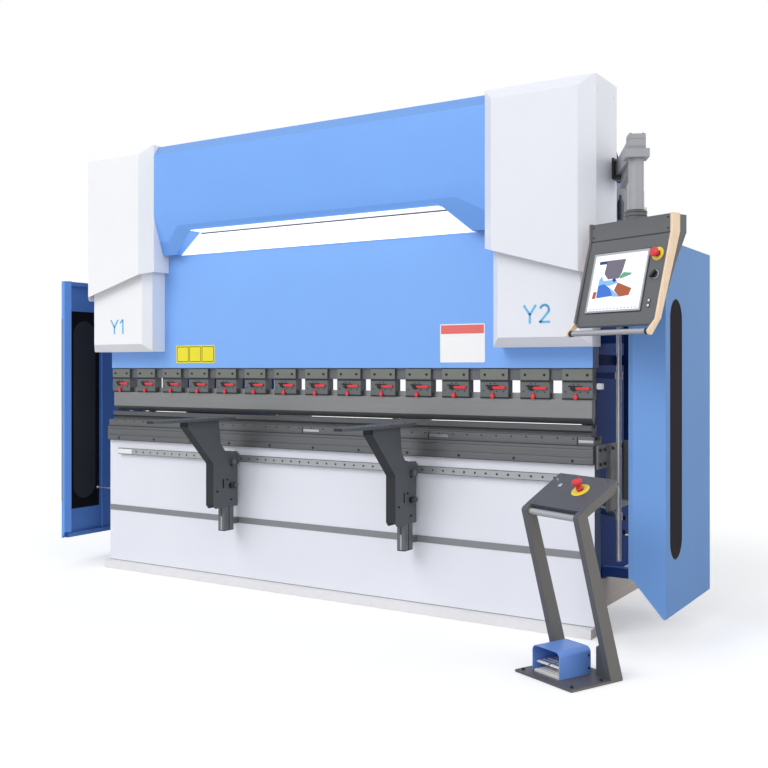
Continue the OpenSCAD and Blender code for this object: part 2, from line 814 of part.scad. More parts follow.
// Smoked window behind the slot, on the guard's inner face.
module guard_window(side, slot_y) color(black) on_side(side) {
  x1 = guard_x - guard_sheet;
  box([x1 - window_t, slot_y - slot_w / 2 - 32, slot_z - 60],
      [x1, slot_y + slot_w / 2 + 32, slot_z + slot_h + 60]);
}

post_x = half_l + 40;
post_y = 176;

stay_h = 30;
stay_zs = [bed_top - 276, head_z - 35 - stay_h];

// Round latch bars beside the bed, each on two flat stays from the side frame.
module guard_posts() color(steel) both_sides() {
  post(post_x, post_y, stay_zs[0] - 200, jaw_high + 210, 12);
  for (z = stay_zs) translate([0, 0, z]) linear_extrude(stay_h) polygon([
    [frame_out, throat_y + 20], [frame_out, throat_y + 60], [frame_out + 12, throat_y + 60],
    [post_x + 6, post_y + 8], [post_x + 6, post_y - 8], [post_x - 6, post_y - 8]
  ]);
}

// ---------- electrical cabinet ----------

cab_y1 = cab_y + cab_d;
cab_top = cab_z + cab_h;
door_t = 20;
door_hinge_x = cab_x + 6;
door_hinge_y = cab_y1 + 6;
door_hinge_zs = [cab_z + 90, cab_top - 130];

module cabinet_box() color(white) {
  difference() {
    box([frame_out, cab_y, cab_z], [cab_x, cab_y1, cab_top]);
    box([frame_out + sheet, cab_y + sheet, cab_z + sheet], [cab_x - sheet, cab_y1 + 1, cab_top - sheet]);
  }
  for (z = door_hinge_zs) {
    box([cab_x - 1, cab_y1 - 20, z], [door_hinge_x, door_hinge_y - 6, z + 20]);
    post(door_hinge_x, door_hinge_y, z, z + 20, 8);
    post(door_hinge_x, door_hinge_y, z + 19, z + 42, 5);
  }
}

module cabinet_door() color(white) {
  x0 = frame_out + 2;
  y0 = cab_y1 + 0.5;
  difference() {
    box([x0, y0, cab_z + 2], [cab_x - 3, y0 + door_t, cab_top - 2]);
    box([x0 + 2, y0 - 1, cab_z + 4], [cab_x - 5, y0 + door_t - 2, cab_top - 4]);
  }
  for (z = door_hinge_zs) difference() {
    union() {
      post(door_hinge_x, door_hinge_y, z + 20.3, z + 40, 8);
      box([cab_x - 4, y0 + 6, z + 20.3], [door_hinge_x, y0 + 13, z + 40]);
    }
    post(door_hinge_x, door_hinge_y, z + 20, z + 41, 5 + pin_gap);
  }
  box([frame_out + 25, y0 + door_t, (cab_z + cab_top) / 2 - 50],
      [frame_out + 45, y0 + door_t + 25, (cab_z + cab_top) / 2 + 50]);
}

// ---------- back gauge ----------

gauge_z = bed_top - 240;
gauge_top = gauge_z + gauge_h;
beam_y = finger_y + 250;
beam_z = bed_top - 40;
beam_h = 100;
beam_d = 60;

module gauge_rails() color(steel) both_sides()
  box([gauge_x - 30, face, gauge_z], [gauge_x + 30, rear_y, gauge_top]);

// Beam on two saddles that straddle the rails.
module gauge_beam() color(deep_blue) {
  both_sides() difference() {
    box([gauge_x - 50, beam_y - 40, gauge_top - 50], [gauge_x + 50, beam_y + 100, beam_z]);
    box([gauge_x - 30 - slide_gap, beam_y - 41, gauge_top - 51],
        [gauge_x + 30 + slide_gap, beam_y + 101, gauge_top + slide_gap]);
  }
  box([-gauge_l / 2, beam_y, beam_z], [gauge_l / 2, beam_y + beam_d, beam_z + beam_h]);
}

finger_z = die_top - 22;
saddle_w = 70;

// Finger block that straddles the gauge beam, with its stop bar forward.
module gauge_finger(side) color(table_grey) on_side(side) translate([finger_x, 0, 0]) {
  difference() {
    box([-saddle_w / 2, beam_y - 20, beam_z + 10], [saddle_w / 2, beam_y + beam_d + 20, finger_z + 1]);
    box([-saddle_w, beam_y - slide_gap, beam_z],
        [saddle_w, beam_y + beam_d + slide_gap, beam_z + beam_h + slide_gap]);
  }
  box([-20, finger_y, finger_z], [20, beam_y + beam_d + 20, finger_z + 40]);
}

// ---------- support arms ----------

block_w = 40;                    // width of the runner block on the front rail
block_y = track_y - 30;          // front face of the runner block
column_y = block_y - column_d;
column_top = track_z + track_w / 2 + 10;
column_z = column_top - column_l;

// Runner block on the front rail, the column and its lower glide pad.
module support_carriage(x) color(table_grey) translate([x, 0, 0]) {
  w = column_w / 2;
  difference() {
    box([-block_w / 2, block_y, track_z - track_w / 2 - 15],
        [block_w / 2, apron_y - 2, track_z + track_w / 2 + 10]);
    box([-block_w, track_y - slide_gap, track_z - track_w / 2 - slide_gap],
        [block_w, apron_y, track_z + track_w / 2 + slide_gap]);
  }
  difference() {
    box([-w, column_y, column_z], [w, block_y, column_top]);
    for (s = [-1, 1]) box([s * w - 5, column_y + column_d / 2 - 5, column_z - 1],
                          [s * w + 5, column_y + column_d / 2 + 5, column_top + 1]);
    box([-5, column_y - 5, column_z - 1], [5, column_y + 5, column_top + 1]);
  }
  box([-block_w / 2, block_y - 1, strip_z + 2],
      [block_w / 2, apron_y - strip_t - slide_gap, strip_z + strip_h - 2]);
}

arm_t = 5;                       // thickness of the bracket's side plates
shelf_z = die_seat + shelf_rise;
shelf_t = 14;
arm_back = track_y - 2;
arm_low = column_z + 131;
arm_front = column_y - 97;
nose_y = column_y - 303;

// Bracket of two side plates joined by a front sheet, with the shelf on top.
module support_arm(x) color(dark_grey) translate([x, 0, 0]) {
  gap = column_w / 2 + slide_gap;
  outline = [
    [arm_back, arm_low], [arm_back, column_top + 12], [arm_back - 106, column_top + 19],
    [arm_back - 144, column_top + 65], [arm_back - 160, shelf_z - shelf_t],
    [nose_y, shelf_z - shelf_t], [nose_y, shelf_z - shelf_t - 30],
    [arm_front, column_top - 45], [arm_front, arm_low + 20], [arm_front + 18, arm_low]
  ];
  for (s = [-1, 1]) on_side(s) difference() {
    along_x(gap, gap + arm_t) polygon(outline);
    box([gap - 1, arm_front + 78, arm_low + 110], [gap + arm_t + 1, arm_front + 90, arm_low + 160]);
  }
  along_x(-gap - arm_t, gap + arm_t) polygon([
    [nose_y, shelf_z - shelf_t - 30], [arm_front, column_top - 45], [arm_front, arm_low + 20],
    [arm_front + 4, arm_low + 20], [arm_front + 4, column_top - 46.5], [nose_y + 4, shelf_z - shelf_t - 30]
  ]);
  translate([0, 0, shelf_z - shelf_t]) linear_extrude(shelf_t) polygon([
    [-shelf_w / 2, arm_back - 53], [shelf_w / 2, arm_back - 53],
    [shelf_w / 2, arm_back - 53 - shelf_l + 90], [shelf_w / 5, arm_back - 53 - shelf_l],
    [-shelf_w / 5, arm_back - 53 - shelf_l], [-shelf_w / 2, arm_back - 53 - shelf_l + 90]
  ]);
  translate([gap + arm_t, arm_back - 30, arm_low + 120]) rotate([0, 90, 0]) cylinder(r = 14, h = 18);
}

// ---------- pendant ----------

swing_x = cover_x1 + 40;
swing_y = 75;
swing_z = cover_low + 469;       // underside of the arm's hub
swing_h = 73;
swing_r = 12;
hub_r = 28;
head_x = swing_x + reach_x;
head_y = swing_y - reach_y;
head_z0 = swing_z - 5;
head_h = 102;
spigot_r = 25;
arm_len = norm([reach_x, reach_y]);
arm_turn = atan2(-reach_y, reach_x);

module pendant_bracket() color(black) {
  box([cover_x1, swing_y - 40, swing_z - 20], [cover_x1 + 10, swing_y + 40, swing_z + swing_h + 6]);
  box([cover_x1 + 9, swing_y - 25, swing_z - 16], [swing_x, swing_y + 25, swing_z - slide_gap]);
  post(swing_x, swing_y, swing_z - 16, swing_z - slide_gap, hub_r - 2);
  post(swing_x, swing_y, swing_z - 1, swing_z + swing_h + 6, swing_r);
}

// Swing arm: hub on the bracket's pin, tapering beam, and the head with its collar.
module pendant_arm() color(table_grey) {
  difference() {
    union() {
      post(swing_x, swing_y, swing_z, swing_z + swing_h, hub_r);
      translate([swing_x, swing_y, 0]) rotate([0, 0, arm_turn]) {
        along_y(-hub_r, hub_r) polygon([
          [0, swing_z + 1], [arm_len - 40, head_z0 + 5], [arm_len, head_z0 + 5],
          [arm_len, head_z0 + head_h - 10], [arm_len - 60, head_z0 + head_h - 10],
          [20, swing_z + swing_h], [0, swing_z + swing_h]
        ]);
        along_y(-12, 12) polygon([
          [32, swing_z + 10], [32, swing_z - 20], [6, swing_z - 20], [8, swing_z - 64],
          [arm_len - 40, head_z0 + 8], [arm_len - 40, head_z0 + 20]
        ]);
      }
      translate([head_x, head_y, head_z0]) rotate([0, 0, arm_turn]) {
        translate([-36, -36, 0]) cube([72, 72, head_h]);
        translate([-50, -50, 0]) cube([100, 100, 36]);
      }
    }
    post(swing_x, swing_y, swing_z - 2, swing_z + swing_h + 1, swing_r + pin_gap);
    post(head_x, head_y, head_z0 - 1, head_z0 + head_h - 12, spigot_r + pin_gap);
  }
}

tube_z = head_z0 - slide_gap - tube_l;   // top of the housing's collar
collar_h = 40;
housing_z1 = tube_z - collar_h;          // top of the control housing
band_h = 73;                             // upright band above the tilted face
band_z = housing_z1 - band_h;
face_h = 380;
face_z = band_z - face_h;
face_y = -56;                            // front of the upright band
face_run = 97;                           // how far the face comes forward
face_tilt = atan(face_run / face_h);
housing_back = face_y + 98;
panel_x = 15;                            // the panel's middle, to the right of the tube

module pendant_place() translate([head_x, head_y, 0]) rotate([0, 0, pendant_turn]) children();

// Dark housing between the cheeks, its collar, tube and spigot, and the hand rail.
module control_housing() color(dark_grey) {
  difference() {
    pendant_place() housing_body();
    for (at = [stop_at, selector_at]) on_face(at[0], at[1])
      translate([0, 0, -stem_l - 8]) cylinder(r = stem_r + pin_gap, h = stem_l + 10);
  }
}

module housing_body() {
  inner = panel_w / 2 - cheek_t;
  along_x(panel_x - inner, panel_x + inner) polygon([
    [face_y, housing_z1], [face_y, band_z], [face_y - face_run, face_z],
    [face_y - face_run + 20, face_z - 6], [face_y + 30, band_z - 130],
    [housing_back, band_z], [housing_back, housing_z1]
  ]);
  post(0, 0, housing_z1 - 1, tube_z, tube_r + 15);
  post(0, 0, tube_z - 1, tube_z + tube_l, tube_r);
  post(0, 0, tube_z + tube_l - 1, head_z0 + head_h - 14, spigot_r);
  translate([panel_x - inner, rail_at[0], rail_at[1]]) rotate([0, 90, 0]) cylinder(r = 11, h = 2 * inner);
}

rail_at = [face_y - face_run - 35, face_z - 31];   // centre of the hand rail

module control_cheeks() color(beech) pendant_place() translate([panel_x, 0, 0]) for (s = [-1, 1]) on_side(s)
  along_x(panel_w / 2 - cheek_t, panel_w / 2) polygon(concat(
    [[face_y - 3, housing_z1 + 3], [face_y - 3, band_z], [face_y - face_run - 3, face_z + 20]],
    arc(rail_at, 16, 160, 300),
    [[face_y - face_run + 26, face_z + 22], [face_y + 45, band_z], [face_y + 45, housing_z1 + 3]]
  ));

// Places on the tilted face: (right, up) from the face's middle, along the outward normal.
module on_face(right, up, out = 0) pendant_place()
  translate([panel_x + right, face_y - face_run / 2, band_z - face_h / 2]) rotate([90 - face_tilt, 0, 0])
    translate([0, up, out]) children();

screen_w = 292;
screen_h = 251;
rim = 8;                                 // the bezel's rim around the glass

module control_screen() color(light_grey) on_face(-23, -4) difference() {
  translate([-screen_w / 2 - rim, -screen_h / 2 - rim, 0]) cube([screen_w + 2 * rim, screen_h + 2 * rim, 6]);
  translate([-screen_w / 2, -screen_h / 2, 3]) cube([screen_w, screen_h, 4]);
}

stem_r = 8;                              // stems of the switches
stem_l = 12;
stop_at = [173, 103];                    // emergency stop, from the face's middle
selector_at = [177, 14];

module control_stop() color(red) on_face(stop_at[0], stop_at[1]) {
  translate([0, 0, -stem_l]) cylinder(r = stem_r, h = stem_l + 24);
  translate([0, 0, 20]) cylinder(r = 18, h = 12);
}

module control_selector() color(black) on_face(selector_at[0], selector_at[1]) {
  translate([0, 0, -stem_l]) cylinder(r = stem_r, h = stem_l + 2);
  translate([0, 0, slide_gap]) cylinder(r = 15, h = 8);
  translate([-5, -15, 7]) cube([10, 30, 14]);
}

// ---------- foot console ----------

module console_place() translate([console_x, console_y, 0]) rotate([0, 0, -24.5]) children();

knee_y = 35;
knee_z = 668;
leg_w = 66;
deck_rise = 0.6;                         // slope of the console's top

function leg_outline() = concat(
  [[console_d - leg_w, console_t]], arc([knee_y + 17, knee_z - 3], 17, 195, 120, 5),
  [[knee_y + 215, knee_z + 12 + 206 * deck_rise], [knee_y + 228, knee_z + 124],
   [knee_y + 198, knee_z + 82], [knee_y + 52, knee_z + 2], [console_d, console_t]]
);

module console_stand() color(dark_grey) console_place() {
  box([0, 0, 0], [console_w, console_d, console_t]);
  along_x(0, leg_t) polygon(leg_outline());
  along_x(console_w - leg_t, console_w) polygon(leg_outline());
}

top_at = [knee_y + 30, knee_z + 24];     // lower front edge of the console's top
top_len = 216;
top_tilt = atan(deck_rise);

module on_top(right, up, out = 0) console_place()
  translate([right, top_at[0], top_at[1]]) rotate([top_tilt, 0, 0]) translate([0, up, out]) children();

console_stop_x = console_w / 2 + 38;
console_stop_y = top_len / 2 + 17;

// Shallow tray with the switches, let in between the legs.
module console_panel() color(dark_grey) difference() {
  on_top(leg_t, 0, -40) difference() {
    cube([console_w - 2 * leg_t, top_len, 40]);
    translate([3, 3, -1]) cube([console_w - 2 * leg_t - 6, top_len - 6, 38]);
  }
  on_top(console_stop_x, console_stop_y, -10) cylinder(r = stem_r + pin_gap, h = 20);
}

module console_bar() color(steel) console_place()
  translate([leg_t, knee_y + 24, knee_z - 6]) rotate([0, 90, 0]) cylinder(r = 14, h = console_w - 2 * leg_t);

module console_stop() color(red) on_top(console_stop_x, console_stop_y) {
  translate([0, 0, -stem_l]) cylinder(r = stem_r, h = stem_l + 8);
  translate([0, 0, 7]) cylinder(r = 13, h = 24);
  translate([0, 0, 30]) cylinder(r = 21, h = 20);
}

hood_x0 = 54;
hood_y0 = 47;
hood_d = 172;
hood_wall = 4;
pedal_y = hood_y0 + hood_d - 25;
pedal_z = console_t + 32;
pedal_pin_r = 4;

// Hood open to the front, with the pin that carries both pedals.
module pedal_hood() color(blue) console_place() {
  x1 = hood_x0 + pedal_hood_w;
  z1 = console_t + pedal_hood_h;
  difference() {
    along_x(hood_x0, x1) polygon([
      [hood_y0, console_t], [hood_y0, z1 - 20], [hood_y0 + 12, z1], [hood_y0 + hood_d, z1 - 12],
      [hood_y0 + hood_d, console_t]
    ]);
    along_x(hood_x0 + hood_wall, x1 - hood_wall) polygon([
      [hood_y0 - 1, console_t - 1], [hood_y0 - 1, z1 - 24], [hood_y0 + 14, z1 - hood_wall],
      [hood_y0 + hood_d - hood_wall, z1 - 16], [hood_y0 + hood_d - hood_wall, console_t - 1]
    ]);
  }
  translate([hood_x0, pedal_y, pedal_z]) rotate([0, 90, 0]) cylinder(r = pedal_pin_r, h = pedal_hood_w);
}

// Pedal i of two, with its hinge barrel and three tread ribs.
module pedal(i) color(steel) console_place() {
  inner = pedal_hood_w - 2 * hood_wall;
  w = inner / 2 - 6;
  translate([hood_x0 + hood_wall + inner * (i + 0.5) / 2 - w / 2, 0, 0]) {
    difference() {
      union() {
        translate([0, pedal_y, pedal_z]) rotate([0, 90, 0]) cylinder(r = 9, h = w);
        box([0, hood_y0 + 20, pedal_z + 3], [w, pedal_y, pedal_z + 9]);
        for (k = [0 : 2]) box([0, hood_y0 + 30 + 26 * k, pedal_z + 8], [w, hood_y0 + 38 + 26 * k, pedal_z + 12]);
      }
      translate([-1, pedal_y, pedal_z]) rotate([0, 90, 0]) cylinder(r = pedal_pin_r + pin_gap, h = w + 2);
    }
  }
}

// ---------- the nodes ----------

base_frame();
side_frame(-1);  // side_frame_left
side_frame(1);  // side_frame_right
bed_beam();
bed_apron();
crowning_table();
die_rail();
die_block();
front_rail();
guide_strip();
cross_members();
oil_tank();
pump_unit();
hydraulic_pipes();
cylinders();
ram_guides();
linear_scales();
upper_cover(-1);  // upper_cover_left
upper_cover(1);  // upper_cover_right
front_hood();
light_panel();
guard_posts();
guard_arms();
cabinet_box();
gauge_rails();
pendant_bracket();
console_stand();
console_panel();
console_bar();
pedal_hood();
ram_beam();
clamp_bar();
tool_clamps();
clamp_levers();
punch();
piston_rods();
scale_heads();
lower_cover(-1);  // lower_cover_left
lower_cover(1);  // lower_cover_right
guard(-1, flange_left, slot_left_y, guard_front - 40);  // guard_left
guard_window(-1, slot_left_y);  // guard_window_left
guard(1, flange_right, slot_right_y, guard_front);  // guard_right
guard_window(1, slot_right_y);  // guard_window_right
cabinet_door();
gauge_beam();
gauge_finger(-1);  // gauge_finger_left
gauge_finger(1);  // gauge_finger_right
support_carriage(left_arm_x);  // support_carriage_left
support_carriage(right_arm_x);  // support_carriage_right
support_arm(left_arm_x);  // support_arm_left
support_arm(right_arm_x);  // support_arm_right
pendant_arm();
control_housing();
control_cheeks();
control_screen();
control_stop();
control_selector();
console_stop();
pedal(0);  // pedal_left
pedal(1);  // pedal_right
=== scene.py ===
"""Looks of an electrohydraulic press brake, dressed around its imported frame.

Every size in this file is in millimetres; a mesh is scaled to metres when it
becomes a piece. X runs along the bend line, Y to the back and Z up.
"""

import json
import logging
import math
from dataclasses import dataclass, field
from enum import Enum
from typing import Any, Iterable, Mapping, Sequence

import bmesh
import bpy
from mathutils import Euler, Matrix, Vector

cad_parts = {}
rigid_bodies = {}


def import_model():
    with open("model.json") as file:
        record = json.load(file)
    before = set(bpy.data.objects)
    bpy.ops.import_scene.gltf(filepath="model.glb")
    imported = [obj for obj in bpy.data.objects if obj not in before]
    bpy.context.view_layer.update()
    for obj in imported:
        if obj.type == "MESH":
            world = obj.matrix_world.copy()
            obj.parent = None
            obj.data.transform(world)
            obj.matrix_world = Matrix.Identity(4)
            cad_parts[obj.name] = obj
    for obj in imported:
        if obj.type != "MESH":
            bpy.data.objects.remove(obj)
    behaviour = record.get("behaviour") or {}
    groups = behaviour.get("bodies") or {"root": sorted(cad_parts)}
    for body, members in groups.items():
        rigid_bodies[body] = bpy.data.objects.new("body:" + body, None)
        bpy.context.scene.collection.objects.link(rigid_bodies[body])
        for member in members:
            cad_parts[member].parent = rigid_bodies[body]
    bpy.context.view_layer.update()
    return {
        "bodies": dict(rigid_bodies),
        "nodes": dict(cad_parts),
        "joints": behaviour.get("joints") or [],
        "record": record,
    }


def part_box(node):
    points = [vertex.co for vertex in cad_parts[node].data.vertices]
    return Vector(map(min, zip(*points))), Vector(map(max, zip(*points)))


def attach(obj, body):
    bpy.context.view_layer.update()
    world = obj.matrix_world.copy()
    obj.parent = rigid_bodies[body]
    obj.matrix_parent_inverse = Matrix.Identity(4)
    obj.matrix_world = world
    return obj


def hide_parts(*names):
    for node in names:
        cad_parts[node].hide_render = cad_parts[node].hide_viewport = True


LOG = logging.getLogger("press_brake")
MM = 0.001

Point = tuple[float, float, float]
Spot = tuple[float, float]
Outline = Sequence[Spot]
Colour = tuple[float, float, float, float]
Tree = bpy.types.NodeTree
Node = bpy.types.Node
Socket = bpy.types.NodeSocket
SIDES = ((-1, "left"), (1, "right"))
AXIS = 0.05  # radius at which a turned form closes on its axis
FRAME_FACE = 1410.0  # outer face of the side frames, from the middle
COVER_SIDE = 1655.0  # outer side of the covers and the cabinet


# ---------------------------------------------------------------- materials


def linear(colour: str, factor: float = 1.0) -> Colour:
    """Turns an sRGB hex colour into linear RGBA.

    Args:
        colour: The colour as "#rrggbb".
        factor: What red, green and blue are multiplied by; they stop at 1.

    Returns:
        Red, green, blue and an alpha of 1.
    """
    parts = [int(colour[i : i + 2], 16) / 255 for i in (1, 3, 5)]
    light = [c / 12.92 if c <= 0.04045 else ((c + 0.055) / 1.055) ** 2.4 for c in parts]
    r, g, b = (min(c * factor, 1.0) for c in light)
    return r, g, b, 1.0


def add_node(
    tree: Tree,
    kind: str,
    settings: Mapping[str | int, Any] | None = None,
    links: Mapping[str | int, Socket] | None = None,
) -> Node:
    """Adds one node to a tree with its settings and its incoming links.

    Args:
        tree: The tree that takes the node.
        kind: The node's Blender type name.
        settings: Input values by socket name or index, or node attributes.
        links: Sockets that feed the node's inputs, by name or index.

    Returns:
        The new node.
    """
    node = tree.nodes.new(kind)
    for key, value in (settings or {}).items():
        if isinstance(key, str) and key not in node.inputs:
            setattr(node, key, value)
        else:
            node.inputs[key].default_value = value
    for key, socket in (links or {}).items():
        tree.links.new(socket, node.inputs[key])
    return node


@dataclass
class Painter:
    """A material's tree, to which a finish adds its pattern on Object coordinates."""

    finish: "Finish"
    tree: Tree
    shader: Node
    where: Socket
    bump_strength: float = 0.6
    tone_edge: float = 0.7

    def set(self, values: Mapping[str, Any]) -> None:
        """Sets inputs of the shader."""
        for name, value in values.items():
            self.shader.inputs[name].default_value = value

    def feed(self, name: str, socket: Socket) -> None:
        """Links a socket to an input of the shader."""
        self.tree.links.new(socket, self.shader.inputs[name])

    def stretch(self, scale: Point) -> None:
        """Stretches the coordinates that the next patterns use."""
        mapping = add_node(self.tree, "ShaderNodeMapping", {"Scale": scale}, {"Vector": self.where})
        self.where = mapping.outputs["Vector"]

    def noise(self, size: float, settings: Mapping[str, float]) -> Socket:
        """Adds soft noise with features of a size in millimetres.

        Args:
            size: Feature size in millimetres.
            settings: Further inputs of the noise.

        Returns:
            The noise, from 0 to 1.
        """
        values = {"Scale": 1 / (size * MM), **settings}
        return add_node(self.tree, "ShaderNodeTexNoise", values, {"Vector": self.where}).outputs["Fac"]

    def mottle(self, size: float, low: float, high: float) -> None:
        """Varies the base colour softly between two factors of it.

        Args:
            size: Feature size in millimetres.
            low: Factor of the darkest tone.
            high: Factor of the lightest tone.
        """
        cloud = self.noise(size, {"Detail": 3.0})
        colour = self.finish.colour
        ends = {"data_type": "RGBA", 6: linear(colour, low), 7: linear(colour, high)}
        self.feed("Base Color", add_node(self.tree, "ShaderNodeMix", ends, {0: cloud}).outputs[2])

    def relief(self, size: float, depth: float, rough_swing: float = 0.0) -> None:
        """Adds a fine bump and ties a little roughness variation to it."""
        grain = self.noise(size, {"Detail": 2.0})
        values = {"Strength": self.bump_strength, "Distance": depth * MM}
        bump = add_node(self.tree, "ShaderNodeBump", values, {"Height": grain})
        self.feed("Normal", bump.outputs["Normal"])
        if rough_swing:
            middle = self.finish.roughness
            ends = {"To Min": middle - rough_swing, "To Max": middle + rough_swing}
            ramp = add_node(self.tree, "ShaderNodeMapRange", ends, {"Value": grain})
            self.feed("Roughness", ramp.outputs["Result"])

    def tone(self, axis: Point, colour: str) -> None:
        """Paints the faces that look along an axis in another colour, as painted light or shade."""
        tree = self.tree
        normal = add_node(tree, "ShaderNodeTexCoord").outputs["Normal"]
        side = add_node(tree, "ShaderNodeVectorMath", {"operation": "DOT_PRODUCT", 1: axis}, {0: normal})
        limit = {"operation": "GREATER_THAN", 1: self.tone_edge}
        inside = add_node(tree, "ShaderNodeMath", limit, {0: side.outputs["Value"]})
        before = self.shader.inputs["Base Color"].links[0].from_socket
        links = {0: inside.outputs["Value"], 6: before}
        mix = add_node(tree, "ShaderNodeMix", {"data_type": "RGBA", 7: linear(colour)}, links)
        self.feed("Base Color", mix.outputs[2])


@dataclass(frozen=True)
class Finish:
    """A surface finish; each kind of material adds its own nodes."""

    name: str
    colour: str
    roughness: float = 0.5
    gloss: float = field(default=0.5, kw_only=True)

    def build(self) -> bpy.types.Material:
        """Makes the material."""
        material = bpy.data.materials.new(self.name)
        material.use_nodes = True
        tree = material.node_tree
        colour = linear(self.colour)
        where = add_node(tree, "ShaderNodeTexCoord").outputs["Object"]
        paint = Painter(self, tree, tree.nodes["Principled BSDF"], where)
        paint.set({"Base Color": colour, "Roughness": self.roughness, "Specular IOR Level": self.gloss})
        self.dress(paint)
        material.diffuse_color = colour
        return material

    def dress(self, paint: Painter) -> None:
        """Adds the nodes of this kind of material."""


@dataclass(frozen=True)
class PowderCoat(Finish):
    """Polyester powder coat on steel sheet: an even tone, a satin sheen and a
    faint orange peel. The real peel of about 3 mm is drawn at 14 mm to show.
    The real coat has one colour; other tones on faces that look one way stand
    in for how the light falls on them."""

    peel: float = 14.0
    peel_depth: float = 0.05
    tones: tuple[tuple[Point, str], ...] = ()

    def dress(self, paint: Painter) -> None:
        """Adds the soft mottle, the peel, the sheen and the painted light and shade of some sides."""
        paint.mottle(420.0, 0.97, 1.03)
        paint.relief(self.peel, self.peel_depth, 0.04)
        paint.set({"Coat Weight": 0.24 * self.gloss, "Coat Roughness": 0.25})
        for axis, colour in self.tones:
            paint.tone(axis, colour)


@dataclass(frozen=True)
class WorkedSteel(Finish):
    """Machined steel: fine lay lines of the grinding wheel along X, a slightly
    broken tone and a broad highlight. Lines of 0.2 mm are drawn at 3 mm."""

    metallic: float = 0.8
    lay: float = 3.0
    contrast: float = 0.07

    def dress(self, paint: Painter) -> None:
        """Adds stretched lay lines to the colour, the roughness and the relief."""
        paint.set({"Metallic": self.metallic})
        paint.stretch((0.02, 1.0, 1.0))
        paint.mottle(self.lay * 4, 1 - self.contrast, 1 + self.contrast)
        paint.relief(self.lay, 0.02, 0.06)


@dataclass(frozen=True)
class Casting(Finish):
    """Painted aluminium casting: thick satin paint over a sand-cast skin, so a
    soft pebbled relief of about 4 mm, drawn at 9 mm."""

    metallic: float = 0.15

    def dress(self, paint: Painter) -> None:
        """Adds the cast skin's tone and pebbles."""
        paint.set({"Metallic": self.metallic})
        paint.mottle(60.0, 0.94, 1.05)
        paint.relief(9.0, 0.12, 0.05)


@dataclass(frozen=True)
class Moulding(Finish):
    """Moulded ABS or nylon: even colour, spark-eroded grain of 1 mm drawn at
    4 mm, and a plastic sheen."""

    grain: float = 4.0

    def dress(self, paint: Painter) -> None:
        """Adds the eroded grain and a faint tone change."""
        paint.set({"IOR": 1.54})
        paint.mottle(25.0, 0.96, 1.05)
        paint.relief(self.grain, 0.04, 0.04)


@dataclass(frozen=True)
class SmokedAcrylic(Finish):
    """Smoked cast acrylic: near-black, with a faint ripple of the sheet that
    bends reflections over some 150 mm."""

    def dress(self, paint: Painter) -> None:
        """Adds the sheet's ripple and a brownish tone change."""
        paint.set({"IOR": 1.49})
        paint.mottle(300.0, 0.9, 1.15)
        paint.relief(150.0, 0.25)


@dataclass(frozen=True)
class Beech(Finish):
    """Lacquered beech: pale pinkish cream, grain running up the cheek in bands
    of about 8 mm, with short darker flecks 1 mm wide."""

    dark: str = "#eec9a2"

    def dress(self, paint: Painter) -> None:
        """Adds growth bands, flecks and the lacquer's coat."""
        paint.stretch((1.0, 1.0, 0.07))
        band = paint.noise(8, {"Detail": 4.0, "Distortion": 0.6})
        fleck = paint.noise(1.6, {"Detail": 1.0})
        sum_up = {"operation": "MULTIPLY_ADD", 1: 0.4}
        joined = add_node(paint.tree, "ShaderNodeMath", sum_up, {0: fleck, 2: band})
        ramp = add_node(paint.tree, "ShaderNodeValToRGB", None, {"Fac": joined.outputs["Value"]})
        for end, place_on, colour in zip(ramp.color_ramp.elements, (0.5, 0.95), (self.colour, self.dark)):
            end.position = place_on
            end.color = linear(colour)
        paint.feed("Base Color", ramp.outputs["Color"])
        paint.set({"Coat Weight": 0.3, "Coat Roughness": 0.2})


@dataclass(frozen=True)
class Glow(Finish):
    """A lit surface: an opal lamp diffuser or a screen, evenly bright."""

    strength: float = 0.5

    def dress(self, paint: Painter) -> None:
        """Adds the light that the surface gives and its faint unevenness."""
        paint.mottle(40.0, 0.98, 1.02)
        paint.set({"Emission Color": linear(self.colour), "Emission Strength": self.strength})


